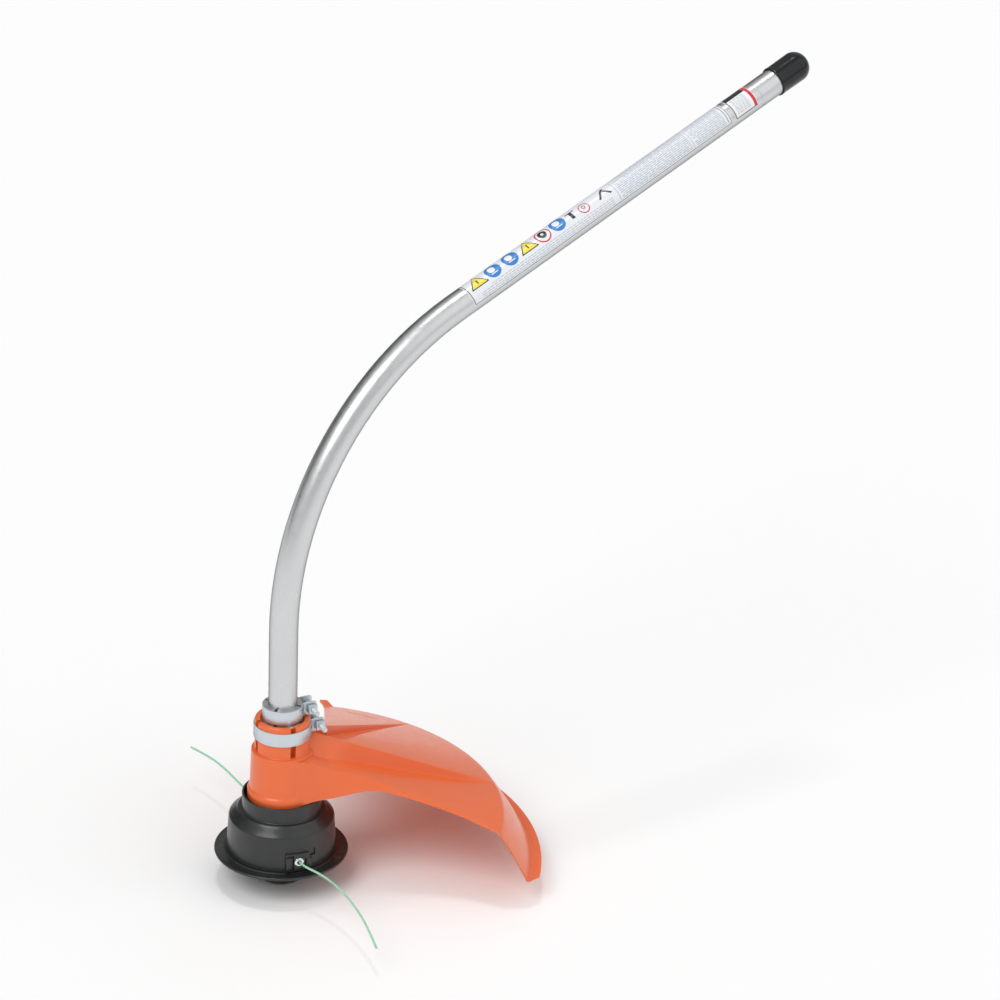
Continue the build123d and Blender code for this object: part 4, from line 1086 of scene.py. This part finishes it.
def print_bar(shape, low, high, start, end, ink, lift=0.0):
    """Printed rectangle, low to high along the tube and start to end round it."""
    columns = max(1, int(abs(end - start) / 5) + 1)
    rows = []
    for place in (high, low):
        rows.append([
            tube_point(place, start + (end - start) * i / columns, PRINT_R + lift * MM)
            for i in range(columns + 1)
        ])
    grid(shape, rows, material=ink)


def print_fan(shape, middle, angle, points, ink, lift=0.0, hole=0.0, rings=5):
    """Printed shape round a middle, from its outline in millimetres, with a hole of its own shape."""
    rows = []
    for ring in range(rings + 1):
        size = hole + (1 - hole) * ring / rings
        rows.append([
            tube_point(middle - size * x, angle - degrees_round(size * y), PRINT_R + lift * MM)
            for x, y in points
        ])
    grid(shape, rows[::-1], closed=True, material=ink)


def disc_outline(radius, steps=36):
    """Points round a circle."""
    return [
        (radius * math.cos(2 * math.pi * i / steps), radius * math.sin(2 * math.pi * i / steps))
        for i in range(steps)
    ]


def triangle_outline(width, height):
    """Points round a triangle with rounded corners and its base down, evenly enough to bend."""
    corners = outline([
        (-width / 2, -height / 3, 0.9), (width / 2, -height / 3, 0.9), (0, 2 * height / 3, 0.9),
    ], 3)
    made = []
    for here, there in zip(corners, corners[1:] + corners[:1]):
        parts = max(1, int((there - here).length / 2))
        made += [here.lerp(there, part / parts) for part in range(parts)]
    return [tuple(point) for point in made]


def print_rows(shape, low, high, first, last, pitch, height, ink, longest=9.0):
    """Rows of short bars of random lengths, as lines of print look from far off."""
    angle = first
    while angle <= last:
        place = low
        end = high - random.uniform(0.0, 0.25) * (high - low) * (random.random() < 0.3)
        while place < end:
            length = min(random.uniform(2.0, longest), end - place)
            print_bar(shape, place, place + length, angle, angle + degrees_round(height), ink)
            place += length + 1.1
        angle += degrees_round(pitch)


def finish_print(name, shape):
    """Thin solid ink on a film."""
    bmesh.ops.remove_doubles(shape, verts=shape.verts, dist=1e-7)
    bmesh.ops.dissolve_degenerate(shape, edges=shape.edges, dist=1e-7)
    mesh = bpy.data.meshes.new(name)
    shape.to_mesh(mesh)
    shape.free()
    mesh.polygons.foreach_set("use_smooth", [True] * len(mesh.polygons))
    piece = link(name, mesh, *INKS)
    depth = piece.modifiers.new("depth", "SOLIDIFY")
    depth.thickness = PRINT_THICKNESS
    depth.offset = -1.0
    apply_modifiers(piece)
    smooth_faces(piece.data, 40.0)
    settle(piece, "boom", "label_film")


def print_signs(shape):
    """Row of plain coloured signs: triangles, discs and rings."""
    for middle, angle in ((396, 109), (337, 109)):
        print_fan(shape, middle, angle, triangle_outline(20, 14.5), BLACK_INK)
        print_fan(shape, middle, angle, triangle_outline(16.6, 11.8), YELLOW_INK, lift=0.03)
        print_bar(shape, middle - 0.7, middle + 0.7, angle - 12, angle + 8, BLACK_INK, lift=0.06)
    for middle, angle in ((377, 102), (357, 103), (300, 100)):
        print_fan(shape, middle, angle, disc_outline(8.0), BLUE_INK)
        print_fan(shape, middle + 1, angle - 5, disc_outline(3.6, 24), WHITE_INK, lift=0.03, rings=3)
        print_bar(shape, middle - 3.5, middle + 4.0, angle + 14, angle + 18, WHITE_INK, lift=0.03)
    print_fan(shape, 318, 104, disc_outline(8.0), RED_INK, hole=0.84, rings=1)
    print_fan(shape, 318, 100, disc_outline(4.4, 24), BLACK_INK, hole=0.35, rings=2)
    print_fan(shape, 270, 112, disc_outline(5.6), RED_INK, hole=0.82, rings=1)
    print_fan(shape, 270, 108, disc_outline(2.2, 20), GREY_INK, hole=0.4, rings=1)
    # a plain tee and a plain pair of struts
    print_bar(shape, 279, 289, 88, 93, BLACK_INK)
    print_bar(shape, 282.3, 285.7, 93, 126, BLACK_INK)
    print_bar(shape, 243, 246, 84, 90, BLACK_INK)
    for lean in (-1, 1):
        for part in range(6):
            middle = 246 + lean * (0.6 + part * 1.1)
            print_bar(shape, middle - 1.1, middle + 1.1, 90 + 6 * part, 96.5 + 6 * part, BLACK_INK)


def add_tube_print():
    """Print on the long film: outline, signs, and columns of small print."""
    random.seed(7)
    shape = bmesh.new()
    print_bar(shape, 97.6, 408.8, 181.0, 183.0, BLACK_INK)
    print_bar(shape, 408.8, 409.5, 6, 181, BLACK_INK)
    print_bar(shape, 97.8, 98.6, 70, 181, GREY_INK)
    print_bar(shape, 100.6, 101.5, 6, 172, GREY_INK)
    print_signs(shape)
    print_rows(shape, 242, 400, 146, 174, 2.0, 0.55, PALE_INK, longest=5.0)
    print_rows(shape, 146, 232, 62, 174, 1.75, 0.7, PALE_INK)
    print_rows(shape, 104, 142, 62, 174, 1.75, 0.7, PALE_INK)
    print_bar(shape, 143.6, 144.2, 60, 176, PALE_INK)
    print_bar(shape, 234.4, 235.0, 60, 176, PALE_INK)
    print_rows(shape, 110, 395, -2, 50, 2.6, 0.6, PALE_INK)
    finish_print("tube_label_print", shape)


def add_coupling_print():
    """Print on the short film: pale panel, dark strip, outline and the red insertion band."""
    random.seed(11)
    shape = bmesh.new()
    print_bar(shape, 68.6, 91.6, 60, 97, BLACK_INK)
    print_bar(shape, 68.6, 91.6, 97, 178, WHITE_INK)
    print_bar(shape, 65.0, 91.6, 180, 183.5, BLACK_INK)
    print_bar(shape, 90.9, 91.8, 97, 180, BLACK_INK, lift=0.02)
    print_rows(shape, 72.5, 88.5, 104, 168, 1.7, 0.6, GREY_INK, longest=4.0)
    print_bar(shape, 65.2, 68.4, 0, 180, RED_INK)
    finish_print("coupling_label_print", shape)


add_tube_print()
add_coupling_print()


# ---- tube end cap

CAP_R = 14.25 * MM
CAP_SKIRT = 33.0 * MM
CAP_CROWN = 7.0 * MM
CAP_DOME = 6.0 * MM


def add_end_cap():
    """Push-on vinyl cap with a rolled mouth and a domed crown."""
    corners = [
        (TUBE_R + 0.6 * MM, -CAP_SKIRT, 0.3 * MM),
        (CAP_R - 0.2 * MM, -CAP_SKIRT, 0.4 * MM),
        (CAP_R, -CAP_SKIRT + 1.4 * MM, 0.8 * MM),
        (CAP_R - 0.25 * MM, -CAP_SKIRT + 2.8 * MM, 1.0 * MM),
        (CAP_R - 0.1 * MM, -CAP_DOME - 2 * MM),
    ]
    profile = outline(corners)
    height = CAP_CROWN + CAP_DOME
    for part in range(16):
        turn = math.pi / 2 * part / 16
        profile.append((CAP_R * math.cos(turn) ** 0.85, -CAP_DOME + height * math.sin(turn)))
    profile += [(0.0, CAP_CROWN), (0.0, CAP_CROWN - 3 * MM), (11 * MM, 0.1 * MM),
                (TUBE_R + 0.1 * MM, 0.1 * MM), (TUBE_R + 0.6 * MM, -2 * MM)]
    shape = bmesh.new()
    turn_profile(shape, profile, 96)
    along = tube_point(0, 90, 0) - tube_point(1, 90, 0)
    turn = Matrix.Translation(tube_point(0, 90, 0)) @ along.to_track_quat("Z", "Y").to_matrix().to_4x4()
    move(shape, turn)
    settle(from_bmesh("vinyl_cap", shape, GLOSS_BLACK), "end_cap", "cap_gloss_black", "tube_end_cap")


add_end_cap()


# ---- floor, light and finishes of the carried-over CAD nodes

FLOOR_SIZE = 200.0


def add_floor():
    """Plain pale floor that the bump knob stands on."""
    mesh = bpy.data.meshes.new("floor")
    half = FLOOR_SIZE / 2
    corners = [(-half, -half, 0), (half, -half, 0), (half, half, 0), (-half, half, 0)]
    mesh.from_pydata(corners, [], [(0, 1, 2, 3)])
    paper = node_material("floor_paper", (0.98, 0.98, 0.98), 0.9, mottle=0.004, grain=0.0, specular=0.1)
    floor = link("floor", mesh, paper)


def add_light(name, azimuth, elevation, softness, power):
    """Soft light from far off, so that it falls evenly on the whole floor."""
    data = bpy.data.lights.new(name, "SUN")
    data.angle = math.radians(softness)
    data.energy = power
    light = add_object(name, data)
    light.matrix_world = looking_back(direction(azimuth, elevation))


def add_world(bright, dark, dark_azimuth):
    """Pale surroundings with a darker side, which gives round metal its dark edges."""
    world = bpy.data.worlds.new("studio")
    world.use_nodes = True
    nodes, links = world.node_tree.nodes, world.node_tree.links
    place = nodes.new("ShaderNodeTexCoord")
    toward = nodes.new("ShaderNodeVectorMath")
    toward.operation = "DOT_PRODUCT"
    toward.inputs[1].default_value = polar(1.0, dark_azimuth)
    links.new(place.outputs["Generated"], toward.inputs[0])
    blend = nodes.new("ShaderNodeMapRange")
    blend.interpolation_type = "SMOOTHSTEP"
    set_inputs(blend, {"From Min": 0.45, "From Max": 0.92, "To Min": bright, "To Max": dark})
    links.new(toward.outputs["Value"], blend.inputs["Value"])
    links.new(blend.outputs["Result"], nodes["Background"].inputs["Strength"])
    nodes["Background"].inputs["Color"].default_value = (1.0, 1.0, 1.0, 1.0)
    bpy.context.scene.world = world


add_floor()
add_world(0.57, 0.08, 100)
add_light("key", azimuth=-165, elevation=50, softness=36, power=1.15)
add_light("fill", azimuth=-60, elevation=40, softness=60, power=0.4)
add_light("top", azimuth=75, elevation=80, softness=8, power=0.4)
# white surroundings come out white
bpy.context.scene.view_settings.view_transform = "Standard"

paint_nodes(ALUMINIUM, "drive_tube")
paint_nodes(CASTING, "bearing_housing")
paint_nodes(ZINC, "grass_plate", "spring_seat")
paint_nodes(BLACK, "spool", "bump_knob")
paint_nodes(FILM, "tube_label", "coupling_label")
paint_nodes(STEEL, "flexible_shaft", "drive_connector", "shaft_ferrule", "housing_circlip", "spindle_circlip",
            "lower_outer_race", "upper_outer_race", "lower_inner_race", "upper_inner_race", "spindle",
            "lower_bearing_balls", "upper_bearing_balls", "bearing_spacer", "line_cutter_blade",
            "blade_screws")
paint_nodes(BRONZE, "top_bush", "head_insert", "lower_ball_cage", "upper_ball_cage")
paint_nodes(LINER, "shaft_liner")
paint_nodes(LINE, "wound_line")
